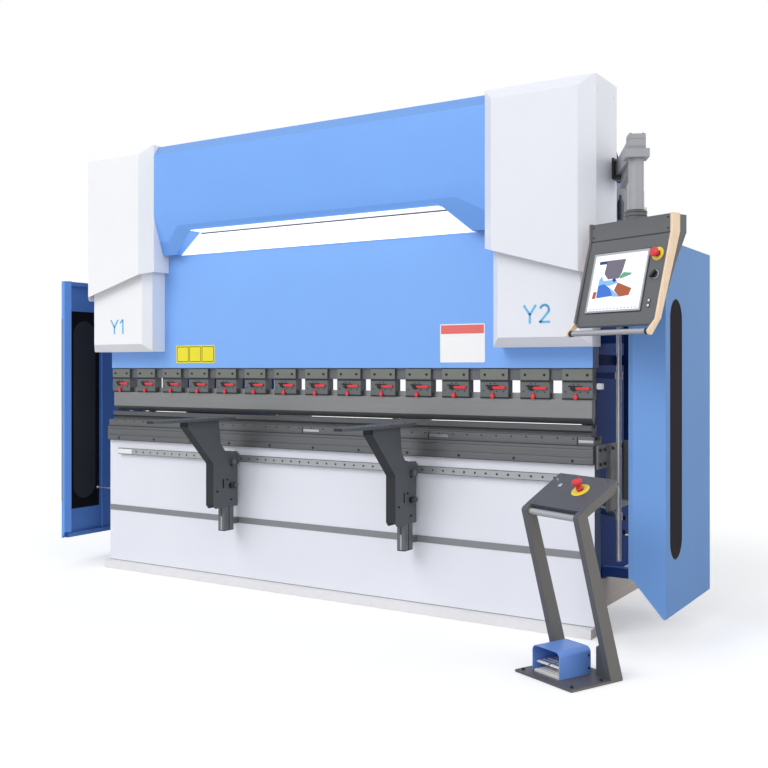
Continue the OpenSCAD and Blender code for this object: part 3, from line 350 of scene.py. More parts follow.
class Skin(Enum):
    """The finishes of the machine."""

    BLUE = PowderCoat("sky_blue_powder_coat", "#80b4fb", 0.42)
    # The ram's blue, with painted shade on its end faces (+X).
    RAM_BLUE = PowderCoat("ram_blue_powder_coat", "#80b4fb", 0.42, tones=(((1, 0, 0), "#2f5196"),))
    # A dark copy of the blue for the bed beam: painted shade, since only its shaded end shows.
    SHADED_BED_BLUE = PowderCoat("bed_blue_painted_shade_coat", "#4a648c", 0.5, gloss=0.2)
    # The hood's blue, a little darker, with painted shade on its two sloping faces.
    FRONT_HOOD = PowderCoat(
        "hood_blue_powder_coat", "#79b0fb", 0.42,
        tones=(((0, -0.5, -0.9), "#6da3ee"), ((0, -0.55, 0.8), "#6b9fe6")),
    )
    HOOD_BLUE = PowderCoat("pedal_hood_powder_coat", "#6a97e4", 0.42)
    # A darker copy of the blue for the right guard: painted shade on its side, darker painted shade on its
    # inner face (-X), painted light on its front (-Y).
    GUARD_RIGHT = PowderCoat(
        "guard_powder_coat_right", "#6591c9", 0.5, tones=(((-1, 0, 0), "#3a5c9c"), ((0, -1, 0), "#76a4e3")),
        gloss=0.15,
    )
    # The left guard's blue, with painted shade on its inner face (+X).
    GUARD_LEFT = PowderCoat(
        "guard_powder_coat_left", "#6da5ee", 0.5, tones=(((1, 0, 0), "#5b8bd8"),), gloss=0.2
    )
    # Dark blue that stands in for the deep shade on the side frames and between covers and guards: painted
    # shade, darker still on +X faces.
    SHADE_NAVY = PowderCoat("painted_shade_navy_coat", "#193a80", 0.6, tones=(((1, 0, 0), "#163169"),), gloss=0.06)
    # A darker copy of the blue for the record's shade slot and the motor: painted shade.
    SHADED_BLUE = PowderCoat("painted_shade_blue_coat", "#3563b4", 0.45)
    WHITE = PowderCoat("white_textured_powder_coat", "#eceef6", 0.5, 9.0, 0.06)
    # A lighter copy of the white for the left covers: painted light.
    WHITE_LIT_LEFT = PowderCoat("white_coat_painted_light_left", "#f9fafd", 0.5, 9.0, 0.06)
    # Painted shade, a warm grey, on the faces that look along +X.
    BASE = PowderCoat(
        "base_flange_paint", "#ecebed", 0.55, 9.0, 0.06, tones=(((1, 0, 0), "#b3aba4"),), gloss=0.2
    )
    # Painted light on the faces that look to the front (-Y), which lie in the covers' shade.
    CABINET = PowderCoat("cabinet_powder_coat", "#dbdad5", 0.5, 9.0, 0.06, tones=(((0, -1, 0), "#fdfdfa"),))
    POST = WorkedSteel("zinc_plated_post", "#f6f5f3", 0.42, 0.6)
    # Painted light on the faces that look along the stand's +X side.
    STAND = PowderCoat(
        "console_grey_paint", "#5a5b61", 0.5, 8.0, 0.08, tones=(((0.91, -0.41, 0), "#706e6a"),), gloss=0.3
    )
    PALE_GREY = PowderCoat("pale_grey_paint", "#c9cbd0", 0.45)
    STRIP_GREY = PowderCoat("strip_grey_paint", "#898a8f", 0.45)
    GRAPHITE = PowderCoat("graphite_textured_paint", "#4f5255", 0.48, 8.0, 0.08)
    # Painted shade on the faces that look down and to the front.
    ARM_GREY = PowderCoat(
        "support_grey_paint", "#5f6265", 0.5, 8.0, 0.06, tones=(((0, -0.8, -0.6), "#3a3c3f"),), gloss=0.1
    )
    HOUSING = PowderCoat("housing_grey_paint", "#606265", 0.46, 7.0, 0.07)
    TABLE = WorkedSteel("table_ground_steel", "#6e7072", 0.42)
    PUNCH = WorkedSteel("tool_steel_hardened", "#8b8d8e", 0.4)
    DIE = WorkedSteel("die_ground_steel", "#616365", 0.42)
    BLACKENED = WorkedSteel("blackened_steel", "#54575a", 0.45, 0.6)
    CLAMP = WorkedSteel("clamp_phosphated_steel", "#6a6e70", 0.48, 0.55)
    CLAMP_PLATE = WorkedSteel("clamp_plate_phosphated", "#787c77", 0.48, 0.5)
    BRIGHT = WorkedSteel("bright_ground_steel", "#c4c6ca", 0.28, 0.95)
    RAIL = WorkedSteel("rail_ground_steel", "#b2b4b7", 0.36)
    DARK_BOLT = WorkedSteel("black_oxide_screw", "#2b2c2e", 0.42, 0.5, 1.0)
    CHROME = WorkedSteel("satin_chrome", "#dcdee2", 0.2, 1.0)
    BRASS = WorkedSteel("guide_brass", "#b08d4a", 0.35, 1.0)
    CAST = Casting("arm_casting_paint", "#a2a4a8", 0.45)
    CARRIER = PowderCoat("carrier_grey_paint", "#93948f", 0.5)
    COLUMN = Casting("column_extrusion", "#6d7073", 0.42, 0.4)
    RED = Moulding("red_switch_plastic", "#e0323a", 0.32)
    LEVER_RED = Moulding("red_lever_plastic", "#e8303a", 0.4)
    YELLOW = Moulding("yellow_ring_plastic", "#f4dc3c", 0.4)
    BLACK = Moulding("black_nylon", "#1b1c1f", 0.42)
    WHITE_CAP = Moulding("white_push_cap", "#eef0f2", 0.35)
    RUBBER = Moulding("black_edge_rubber", "#232427", 0.6, 6.0)
    SMOKED = SmokedAcrylic("smoked_acrylic", "#1d1d21", 0.2, gloss=0.05)
    DARK_PANE = SmokedAcrylic("smoked_acrylic_dark", "#363437", 0.5, gloss=0.0)
    PANE = SmokedAcrylic("smoked_acrylic_pane", "#34373e", 0.35, gloss=0.1)
    BEECH = Beech("lacquered_beech", "#fbe5ca", 0.4)
    BEZEL = Moulding("screen_bezel_silver", "#b4b8bd", 0.3)
    SCREEN = Glow("screen_white", "#e9eef4", 0.3, 0.35)
    SCREEN_NAVY = Glow("screen_navy", "#1d2f6e", 0.3, 0.2)
    SCREEN_BLUE = Glow("screen_blue", "#2f6cc4", 0.3, 0.25)
    SCREEN_LIGHT = Glow("screen_light_blue", "#7fb2ee", 0.3, 0.25)
    SCREEN_GREY = Glow("screen_grey", "#6a6474", 0.3, 0.2)
    SCREEN_RUST = Glow("screen_rust", "#a4522e", 0.3, 0.2)
    SCREEN_GREEN = Glow("screen_green", "#5fa07c", 0.3, 0.2)
    LAMP = Glow("lamp_diffuser", "#fcfdff", 0.4, 0.55)
    LABEL_CYAN = Moulding("cyan_letter_vinyl", "#62bcee", 0.4)
    LABEL_YELLOW = Moulding("yellow_plate_vinyl", "#f3e622", 0.4)
    LABEL_WHITE = Moulding("white_plate_vinyl", "#ffffff", 0.4)
    LABEL_RED = Moulding("red_plate_vinyl", "#ec6f6a", 0.4)


class Slot(Enum):
    """The record's material slots."""

    BLUE = "blue_paint"
    SHADE_BLUE = "shade_blue_paint"
    WHITE = "white_paint"
    LIGHT_GREY = "light_grey_paint"
    TABLE = "table_steel"
    DARK_STEEL = "dark_steel"
    GROUND = "ground_steel"
    BRASS = "guide_brass"
    RED = "red_plastic"
    ACRYLIC = "smoked_acrylic"
    CASTING = "grey_casting"
    DARK_GREY = "dark_grey_paint"
    BLACK = "black_plastic"
    BEECH = "beech_wood"
    SCREEN = "screen_bezel"
    CHROME = "chrome_tube"


def by_member(groups: Mapping[Any, Iterable[Any]]) -> dict[Any, Any]:
    """Turns groups of members by key into the key by member."""
    return {member: key for key, members in groups.items() for member in members}


# The first finish of a slot is the one that a CAD node gets unless NODE_SKIN names another.
SLOT_SKINS = {
    Slot.BLUE: (Skin.BLUE, Skin.HOOD_BLUE, Skin.GUARD_LEFT, Skin.GUARD_RIGHT, Skin.SHADE_NAVY),
    Slot.SHADE_BLUE: (Skin.SHADED_BLUE,),
    Slot.WHITE: (Skin.WHITE, Skin.WHITE_CAP, Skin.LAMP, Skin.LABEL_CYAN, Skin.LABEL_WHITE, Skin.LABEL_YELLOW),
    Slot.LIGHT_GREY: (Skin.PALE_GREY, Skin.CARRIER, Skin.STRIP_GREY),
    Slot.TABLE: (Skin.TABLE,),
    Slot.DARK_STEEL: (Skin.BLACKENED, Skin.DARK_BOLT, Skin.CLAMP_PLATE),
    Slot.GROUND: (Skin.BRIGHT, Skin.POST, Skin.BASE, Skin.COLUMN),
    Slot.BRASS: (Skin.BRASS,),
    Slot.RED: (Skin.RED, Skin.YELLOW, Skin.LEVER_RED),
    Slot.ACRYLIC: (Skin.SMOKED, Skin.PANE, Skin.DARK_PANE),
    Slot.CASTING: (Skin.CAST,),
    Slot.DARK_GREY: (Skin.GRAPHITE, Skin.STAND, Skin.ARM_GREY),
    Slot.BLACK: (Skin.BLACK, Skin.RUBBER, Skin.HOUSING),
    Slot.BEECH: (Skin.BEECH,),
    Slot.SCREEN: (Skin.BEZEL, Skin.SCREEN),
    Slot.CHROME: (Skin.CHROME, Skin.RAIL),
}
NODE_SKIN = by_member(
    {
        Skin.GUARD_LEFT: ("guard_left",),
        Skin.GUARD_RIGHT: ("guard_right",),
        Skin.DARK_PANE: ("guard_window_right",),
        Skin.FRONT_HOOD: ("front_hood",),
        # Parts in deep shade take the dark blue of painted shade.
        Skin.SHADE_NAVY: ("side_frame_left", "side_frame_right", "scale_heads"),
        Skin.BASE: ("base_frame",),
        Skin.SHADED_BED_BLUE: ("bed_beam",),
        Skin.RAM_BLUE: ("ram_beam",),
        Skin.WHITE_LIT_LEFT: ("upper_cover_left", "lower_cover_left"),
        Skin.LAMP: ("light_panel",),
        Skin.STRIP_GREY: ("guide_strip",),
        Skin.RAIL: ("front_rail", "console_bar"),
        Skin.PUNCH: ("punch",),
        Skin.DIE: ("die_block",),
        Skin.TABLE: ("die_rail",),
        Skin.CLAMP: ("tool_clamps", "clamp_bar"),
        Skin.COLUMN: ("support_carriage_left", "support_carriage_right"),
        Skin.ARM_GREY: ("support_arm_left", "support_arm_right"),
        Skin.CARRIER: ("linear_scales",),
        Skin.CABINET: ("cabinet_box", "cabinet_door"),
        Skin.HOUSING: ("control_housing",),
        Skin.STAND: ("console_stand", "console_panel"),
    }
)
# Width of a CAD node's rounded edges where it isn't the usual one.
USUAL_EDGE = 1.2
NODE_EDGE = by_member(
    {
        5.0: ("pendant_arm",),
        2.0: ("control_cheeks",),
        0.5: (
            "front_hood", "clamp_levers", "tool_clamps", "front_rail", "control_screen", "support_arm_left",
            "support_arm_right", "support_carriage_left", "support_carriage_right", "pedal_hood",
            "pedal_left", "pedal_right",
        ),
    }
)


# ------------------------------------------------------------------- shapes


def arc(centre: Spot, radius: float, start: float, end: float, steps: int = 8) -> list[Spot]:
    """Returns points of a circular arc, angles in degrees."""
    turn = [math.radians(start + (end - start) * i / steps) for i in range(steps + 1)]
    return [(centre[0] + radius * math.cos(a), centre[1] + radius * math.sin(a)) for a in turn]


def rounded(low: Spot, high: Spot, radius: float, steps: int = 5) -> list[Spot]:
    """Returns a rectangle's outline with round corners."""
    (x0, y0), (x1, y1) = low, high
    return (
        arc((x1 - radius, y0 + radius), radius, -90, 0, steps)
        + arc((x1 - radius, y1 - radius), radius, 0, 90, steps)
        + arc((x0 + radius, y1 - radius), radius, 90, 180, steps)
        + arc((x0 + radius, y0 + radius), radius, 180, 270, steps)
    )


def turned(degrees: float, axis: str = "Z") -> Matrix:
    """Returns a turn about an axis."""
    return Matrix.Rotation(math.radians(degrees), 4, axis)


def facing(axis: str) -> Matrix:
    """Returns the turn that takes +Z to the named direction, such as "-Y"."""
    turns = {
        "+Z": (0, 0, 0),
        "-Z": (180, 0, 0),
        "-Y": (90, 0, 0),
        "+Y": (-90, 0, 0),
        "+X": (0, 90, 0),
        "-X": (0, -90, 0),
    }
    return Euler([math.radians(a) for a in turns[axis]]).to_matrix().to_4x4()


def outward(side: int) -> str:
    """Returns the direction that looks out of the machine on a side."""
    return "+X" if side > 0 else "-X"


def place(at: Point, axis: str = "+Z") -> Matrix:
    """Returns the matrix that seats a shape at a point, its +Z along axis."""
    return Matrix.Translation(at) @ facing(axis)


class Shape:
    """A closed mesh that is drawn solid by solid, in millimetres."""

    def __init__(self) -> None:
        """Starts with an empty mesh."""
        self.bm = bmesh.new()
        self.paint = 0

    def add(self, points: Iterable[Sequence[float]], faces: Iterable[Sequence[int]], at: Matrix) -> None:
        """Adds vertices and faces, with the current paint index."""
        verts = [self.bm.verts.new(at @ Vector(p)) for p in points]
        for face in faces:
            made = self.bm.faces.new([verts[i] for i in face])
            made.material_index = self.paint

    def prism(
        self,
        outline: Outline,
        low: float,
        high: float,
        axis: str = "Z",
        at: Matrix = Matrix(),
    ) -> "Shape":
        """Carries an outline along an axis.

        Args:
            outline: Points in the two other axes' order: YZ, XZ or XY.
            low: Start along the axis.
            high: End along the axis.
            axis: "X", "Y" or "Z".
            at: Where the solid is put.

        Returns:
            This shape.
        """
        n = len(outline)
        put = {
            "X": lambda a, b, t: (t, a, b), "Y": lambda a, b, t: (a, t, b), "Z": lambda a, b, t: (a, b, t)
        }[axis]
        points = [put(a, b, t) for t in (low, high) for a, b in outline]
        sides = [(i, (i + 1) % n, n + (i + 1) % n, n + i) for i in range(n)]
        self.add(points, [*sides, tuple(range(n)), tuple(range(2 * n - 1, n - 1, -1))], at)
        return self

    def block(self, one: Point, other: Point) -> "Shape":
        """Adds a box between two opposite corners, given in any order."""
        (x0, x1), (y0, y1), (z0, z1) = (sorted(pair) for pair in zip(one, other))
        return self.prism([(x0, y0), (x1, y0), (x1, y1), (x0, y1)], z0, z1)

    def spin(self, section: Outline, steps: int, at: Matrix, closed: bool) -> "Shape":
        """Turns a (radius, height) section about Z.

        Args:
            section: The section's points.
            steps: How many sides the round has.
            at: Where the solid is put.
            closed: True joins the last point to the first; False caps both ends.

        Returns:
            This shape.
        """
        n = len(section)
        turn = [2 * math.pi * i / steps for i in range(steps)]
        points = [(r * math.cos(a), r * math.sin(a), z) for r, z in section for a in turn]
        starts = [(k * steps, (k + 1) % n * steps) for k in range(n if closed else n - 1)]
        faces = [
            (a + i, a + (i + 1) % steps, b + (i + 1) % steps, b + i) for a, b in starts for i in range(steps)
        ]
        if not closed:
            last = (n - 1) * steps
            faces += [tuple(range(steps)), tuple(range(last + steps - 1, last - 1, -1))]
        self.add(points, faces, at)
        return self

    def lathe(self, profile: Outline, steps: int = 32, at: Matrix = Matrix()) -> "Shape":
        """Turns a (radius, height) profile about Z; open ends are capped."""
        return self.spin(profile, steps, at, False)

    def ring(self, section: Outline, steps: int = 32, at: Matrix = Matrix()) -> "Shape":
        """Turns a closed (radius, height) section about Z into a ring with a hole."""
        return self.spin(section, steps, at, True)

    def studs(self, profile: Outline, steps: int, places: Iterable[Point], axis: str = "+Z") -> "Shape":
        """Turns the same profile at several places, all along one direction."""
        for at in places:
            self.lathe(profile, steps, place(at, axis))
        return self

    def frame(
        self,
        outer: Outline,
        inner: Outline,
        low: float,
        high: float,
        at: Matrix = Matrix(),
    ) -> "Shape":
        """Adds a flat ring between two outlines with the same count of points, along Z."""
        n = len(outer)
        points = [(x, y, z) for z in (low, high) for line in (outer, inner) for x, y in line]
        faces = []
        for i in range(n):
            j = (i + 1) % n
            faces += [
                (i, j, 2 * n + j, 2 * n + i), (n + i, 3 * n + i, 3 * n + j, n + j), (i, n + i, n + j, j),
                (2 * n + i, 2 * n + j, 3 * n + j, 3 * n + i),
            ]
        self.add(points, faces, at)
        return self

    def stroke(self, line: Outline, width: float, low: float, high: float) -> "Shape":
        """Draws a flat stroke of even width along a line, from low to high in Z."""
        for (x0, y0), (x1, y1) in zip(line, line[1:]):
            long = math.hypot(x1 - x0, y1 - y0)
            u, v = (x1 - x0) / long * width / 2, (y1 - y0) / long * width / 2
            corners = [(x0 - v - u * 0.2, y0 + u - v * 0.2), (x0 + v - u * 0.2, y0 - u - v * 0.2)]
            corners += [(x1 + v + u * 0.2, y1 - u + v * 0.2), (x1 - v + u * 0.2, y1 + u + v * 0.2)]
            self.prism(corners, low, high)
        return self

    def mesh(self, name: str) -> bpy.types.Mesh:
        """Closes the drawing and returns it as a mesh with outward faces."""
        bmesh.ops.recalc_face_normals(self.bm, faces=self.bm.faces)
        mesh = bpy.data.meshes.new(name)
        self.bm.to_mesh(mesh)
        self.bm.free()
        return mesh


def cap_screw(radius: float, height: float) -> Shape:
    """Returns a socket-head cap screw seen from above, its seat at z 0."""
    r, key = radius, radius * 0.5
    return Shape().lathe(
        [
            (r, -0.5), (r, height * 0.85), (r * 0.9, height), (key, height), (key, height * 0.4),
            (AXIS, height * 0.35),
        ],
        20,
    )


def hex_bolt(across: float, height: float) -> Shape:
    """Returns a hexagon bolt head on its washer, its seat at z 0."""
    shape = Shape().lathe([(across * 0.72, -0.5), (across * 0.72, 2.2), (across * 0.6, 2.4)], 24)
    shape.prism(arc((0, 0), across * 0.56, 0, 300, 5), 2.0, height - 1)
    shape.lathe([(across * 0.5, height - 1.2), (across * 0.42, height), (AXIS, height)], 24)
    return shape


# --------------------------------------------------------- geometry node trees


class Trees:
    """The geometry node trees, each made once with named inputs."""

    def __init__(self) -> None:
        """Builds every tree."""
        self.grid = self.grid_tree()
        self.ring = self.ring_tree()
        self.tube = self.tube_tree()
        self.smooth = self.smooth_tree()

    def new(self, name: str, inputs: Mapping[str, str]) -> tuple[Tree, Node]:
        """Starts a tree with a geometry output and the named inputs.

        Args:
            name: The tree's name.
            inputs: Socket type by input name, such as "Int" by "Count".

        Returns:
            The tree and its input node.
        """
        tree = bpy.data.node_groups.new(name, "GeometryNodeTree")
        tree.interface.new_socket("Geometry", in_out="OUTPUT", socket_type="NodeSocketGeometry")
        for label, kind in {"Geometry": "Geometry", **inputs}.items():
            tree.interface.new_socket(label, in_out="INPUT", socket_type=f"NodeSocket{kind}")
        return tree, add_node(tree, "NodeGroupInput")

    def finish(self, tree: Tree, geometry: Socket, source: Node) -> Tree:
        """Ends a tree with Realize Instances and Set Material."""
        real = add_node(tree, "GeometryNodeRealizeInstances", None, {"Geometry": geometry})
        links = {"Geometry": real.outputs["Geometry"], "Material": source.outputs["Material"]}
        paint = add_node(tree, "GeometryNodeSetMaterial", None, links)
        add_node(tree, "NodeGroupOutput", None, {"Geometry": paint.outputs["Geometry"]})
        return tree

    def instances(self, tree: Tree, links: Mapping[str | int, Socket]) -> Socket:
        """Puts an instance on every point and returns the instances."""
        return add_node(tree, "GeometryNodeInstanceOnPoints", None, links).outputs["Instances"]

    def grid_tree(self) -> Tree:
        """Repeats a unit in one or two directions."""
        tree, source = self.new(
            "repeat_in_rows",
            {
                "Unit": "Object",
                "Start": "Vector",
                "Step": "Vector",
                "Count": "Int",
                "Row step": "Vector",
                "Rows": "Int",
                "Material": "Material",
            },
        )
        get = source.outputs
        along = {"Count": get["Count"], "Start Location": get["Start"], "Offset": get["Step"]}
        line = add_node(tree, "GeometryNodeMeshLine", None, along)
        rows = add_node(tree, "GeometryNodeMeshLine", None, {"Count": get["Rows"], "Offset": get["Row step"]})
        spread = self.instances(tree, {"Points": line.outputs["Mesh"], "Instance": rows.outputs["Mesh"]})
        points = add_node(tree, "GeometryNodeRealizeInstances", None, {"Geometry": spread})
        unit = add_node(tree, "GeometryNodeObjectInfo", None, {"Object": get["Unit"]})
        links = {"Points": points.outputs["Geometry"], "Instance": unit.outputs["Geometry"]}
        return self.finish(tree, self.instances(tree, links), source)

    def ring_tree(self) -> Tree:
        """Repeats a unit round a circle, turned with it."""
        tree, source = self.new(
            "repeat_in_ring", {"Unit": "Object", "Radius": "Float", "Count": "Int", "Material": "Material"}
        )
        get = source.outputs
        round_line = {"Vertices": get["Count"], "Radius": get["Radius"]}
        circle = add_node(tree, "GeometryNodeMeshCircle", None, round_line)
        index = add_node(tree, "GeometryNodeInputIndex").outputs["Index"]
        part = add_node(tree, "ShaderNodeMath", {"operation": "DIVIDE"}, {0: index, 1: get["Count"]})
        full = {"operation": "MULTIPLY", 1: 2 * math.pi}
        angle = add_node(tree, "ShaderNodeMath", full, {0: part.outputs["Value"]})
        turn = add_node(tree, "ShaderNodeCombineXYZ", None, {"Z": angle.outputs["Value"]})
        unit = add_node(tree, "GeometryNodeObjectInfo", None, {"Object": get["Unit"]})
        links = {
            "Points": circle.outputs["Mesh"],
            "Instance": unit.outputs["Geometry"],
            "Rotation": turn.outputs["Vector"],
        }
        return self.finish(tree, self.instances(tree, links), source)

    def tube_tree(self) -> Tree:
        """Draws a round tube along a curve."""
        tree, source = self.new("tube_along_path", {"Radius": "Float", "Material": "Material"})
        get = source.outputs
        ring = add_node(
            tree, "GeometryNodeCurvePrimitiveCircle", {"Resolution": 14}, {"Radius": get["Radius"]}
        )
        links = {"Curve": get["Geometry"], "Profile Curve": ring.outputs["Curve"]}
        skin = add_node(tree, "GeometryNodeCurveToMesh", {"Fill Caps": True}, links)
        return self.finish(tree, skin.outputs["Mesh"], source)

    def smooth_tree(self) -> Tree:
        """Shades faces smooth and keeps edges above an angle sharp."""
        tree, source = self.new("smooth_by_angle", {"Angle": "Float"})
        get = source.outputs
        every = {"Geometry": get["Geometry"]}
        faces = add_node(tree, "GeometryNodeSetShadeSmooth", {"domain": "FACE"}, every)
        bend = add_node(tree, "GeometryNodeInputMeshEdgeAngle").outputs["Unsigned Angle"]
        limit = {"A": bend, "B": get["Angle"]}
        flat = add_node(tree, "FunctionNodeCompare", {"operation": "LESS_EQUAL"}, limit)
        links = {"Geometry": faces.outputs["Geometry"], "Shade Smooth": flat.outputs["Result"]}
        edges = add_node(tree, "GeometryNodeSetShadeSmooth", {"domain": "EDGE"}, links)
        add_node(tree, "NodeGroupOutput", None, {"Geometry": edges.outputs["Geometry"]})
        return tree


def set_inputs(modifier: bpy.types.Modifier, values: Mapping[str, Any]) -> None:
    """Sets a geometry nodes modifier's inputs by their sockets' identifiers."""
    for item in modifier.node_group.interface.items_tree:
        if item.item_type == "SOCKET" and item.in_out == "INPUT" and item.name in values:
            modifier[item.identifier] = values[item.name]



@dataclass
class Kit:
    """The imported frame, the shared materials and the tools that make pieces."""

    frame: dict[str, Any]
    trees: Trees = field(default_factory=Trees)
    skins: dict[Skin, bpy.types.Material] = field(default_factory=dict)

    def skin(self, skin: Skin) -> bpy.types.Material:
        """Returns a finish's material, made on first use."""
        if skin not in self.skins:
            self.skins[skin] = skin.value.build()
        return self.skins[skin]

    def low(self, node: str) -> Vector:
        """Returns a CAD node's lowest corner in millimetres."""
        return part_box(node)[0] / MM

    def high(self, node: str) -> Vector:
        """Returns a CAD node's highest corner in millimetres."""
        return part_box(node)[1] / MM

    def smooth(self, obj: bpy.types.Object, bevel: float, angle: float = 35.0, merge: bool = False) -> None:
        """Rounds an object's edges and shades it smooth by angle.

        Args:
            obj: The object.
            bevel: Width of the rounded edge; 0 leaves the edges as they are.
            angle: Edges above this many degrees are rounded and kept sharp.
            merge: True for a CAD node, whose triangles are loose.
        """
        if merge:
            obj.modifiers.new("merge", "WELD").merge_threshold = 0.02 * MM
            flat = obj.modifiers.new("join_flat", "DECIMATE")
            flat.decimate_type = "DISSOLVE"
            flat.angle_limit = math.radians(0.5)
        if bevel:
            edge = obj.modifiers.new("edges", "BEVEL")
            edge.limit_method = "ANGLE"
            edge.angle_limit = math.radians(angle)
            edge.width = bevel * MM
            edge.segments = 2
        shading = obj.modifiers.new("shading", "NODES")
        shading.node_group = self.trees.smooth
        set_inputs(shading, {"Angle": math.radians(angle + 5)})
        obj.modifiers.new("normals", "WEIGHTED_NORMAL").keep_sharp = True

    def piece(
        self,
        name: str,
        shape: Shape | bpy.types.Mesh,
        skins: Skin | Sequence[Skin],
        body: str = "frame",
        slot: Slot | None = None,
        at: Matrix = Matrix(),
        bevel: float = 0.0,
        replaces: Sequence[str] = (),
    ) -> None:
        """Turns a drawing into a finished piece that rides on a body.

        Args:
            name: The piece's name.
            shape: The drawing or a mesh, in millimetres.
            skins: One finish, or one for each paint index.
            body: The CAD body that carries it.
            slot: The record's material slot; not used.
            at: Where the drawing is put.
            bevel: Width of its rounded edges; 0 leaves them sharp.
            replaces: CAD nodes that this piece stands for.
        """
        skins = [skins] if isinstance(skins, Skin) else skins
        mesh = shape.mesh(name) if isinstance(shape, Shape) else shape
        mesh.transform(Matrix.Scale(MM, 4) @ at)
        mesh.name = name
        if mesh.materials:
            mesh.materials.clear()
        for skin in skins:
            mesh.materials.append(self.skin(skin))
        obj = bpy.data.objects.new(name, mesh)
        bpy.context.scene.collection.objects.link(obj)
        self.smooth(obj, bevel)
        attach(obj, body)
        if replaces:
            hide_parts(*replaces)
        LOG.info("%s: %d faces on %s", name, len(mesh.polygons), body)

    def evaluate(self, base: bpy.types.Object, tree: Tree, values: Mapping[str, Any]) -> bpy.types.Mesh:
        """Runs a tree on an object and returns its result as a plain mesh."""
        modifier = base.modifiers.new("build", "NODES")
        modifier.node_group = tree
        set_inputs(modifier, values)
        bpy.context.view_layer.update()
        graph = bpy.context.evaluated_depsgraph_get()
        mesh = bpy.data.meshes.new_from_object(base.evaluated_get(graph))
        base.modifiers.remove(modifier)
        bpy.data.objects.remove(base)
        return mesh

    def helper(self, name: str, data: bpy.types.ID) -> bpy.types.Object:
        """Returns a passing object that a tree works on."""
        obj = bpy.data.objects.new(name, data)
        bpy.context.scene.collection.objects.link(obj)
        return obj

    def repeat(self, tree: Tree, unit: Shape, skin: Skin, values: Mapping[str, Any]) -> bpy.types.Mesh:
        """Repeats a unit by a tree and returns the mesh, in millimetres.

        Args:
            tree: The tree that repeats.
            unit: The drawing of one item.
            skin: Its finish.
            values: The tree's other inputs.

        Returns:
            The mesh of all items.
        """
        item = self.helper("unit", unit.mesh("unit"))
        base = self.helper("base", bpy.data.meshes.new("base"))
        mesh = self.evaluate(base, tree, {"Unit": item, "Material": self.skin(skin), **values})
        bpy.data.objects.remove(item)
        return mesh

    def rows(
        self,
        name: str,
        unit: Shape,
        start: Point,
        step: Point,
        count: int,
        skin: Skin,
        row_step: Point = (0, 0, 0),
        rows: int = 1,
        **rest: Any,
    ) -> None:
        """Makes a piece of units in rows.

        Args:
            name: The piece's name.
            unit: The drawing of one item.
            start: Place of the first item.
            step: From one item to the next.
            count: Items in a row.
            skin: Their finish.
            row_step: From one row to the next.
            rows: How many rows.
            rest: What else piece is told.
        """
        values = {"Start": start, "Step": step, "Count": count, "Row step": row_step, "Rows": rows}
        self.piece(name, self.repeat(self.trees.grid, unit, skin, values), skin, **rest)

    def ring(self, name: str, unit: Shape, radius: float, count: int, skin: Skin, **rest: Any) -> None:
        """Makes a piece of units round a circle about Z.

        Args:
            name: The piece's name.
            unit: The drawing of one item.
            radius: The circle's radius.
            count: Items on the circle.
            skin: Their finish.
            rest: What else piece is told.
        """
        mesh = self.repeat(self.trees.ring, unit, skin, {"Radius": radius, "Count": count})
        self.piece(name, mesh, skin, **rest)

    def tube(self, points: Sequence[Point], radius: float, skin: Skin) -> bpy.types.Mesh:
        """Draws a tube through the points and returns the mesh."""
        curve = bpy.data.curves.new("path", "CURVE")
        curve.dimensions = "3D"
        spline = curve.splines.new("NURBS")
        spline.points.add(len(points) - 1)
        for target, point in zip(spline.points, points):
            target.co = (*point, 1.0)
        spline.order_u = 3
        spline.use_endpoint_u = True
        spline.resolution_u = 6
        path = self.helper("path", curve)
        return self.evaluate(path, self.trees.tube, {"Radius": radius, "Material": self.skin(skin)})


@dataclass
class Assembly:
    """A sub-assembly; build makes its pieces."""

    kit: Kit

    def build(self) -> None:
        """Makes the pieces of this sub-assembly."""


@dataclass
class CadFinishes(Assembly):
    """The CAD nodes that stay: their finishes and rounded edges."""

    def build(self) -> None:
        """Gives every CAD node its finish and its edges."""
        kit = self.kit
        slots = {part["node"]: part["material_slot"] for part in kit.frame["record"]["subparts"]}
        for name, obj in kit.frame["nodes"].items():
            skin = NODE_SKIN.get(name) or SLOT_SKINS[Slot(slots[name])][0]
            obj.data.materials.clear()
            obj.data.materials.append(kit.skin(skin))
            kit.smooth(obj, NODE_EDGE.get(name, USUAL_EDGE), merge=True)
        LOG.info("%d CAD nodes dressed", len(kit.frame["nodes"]))


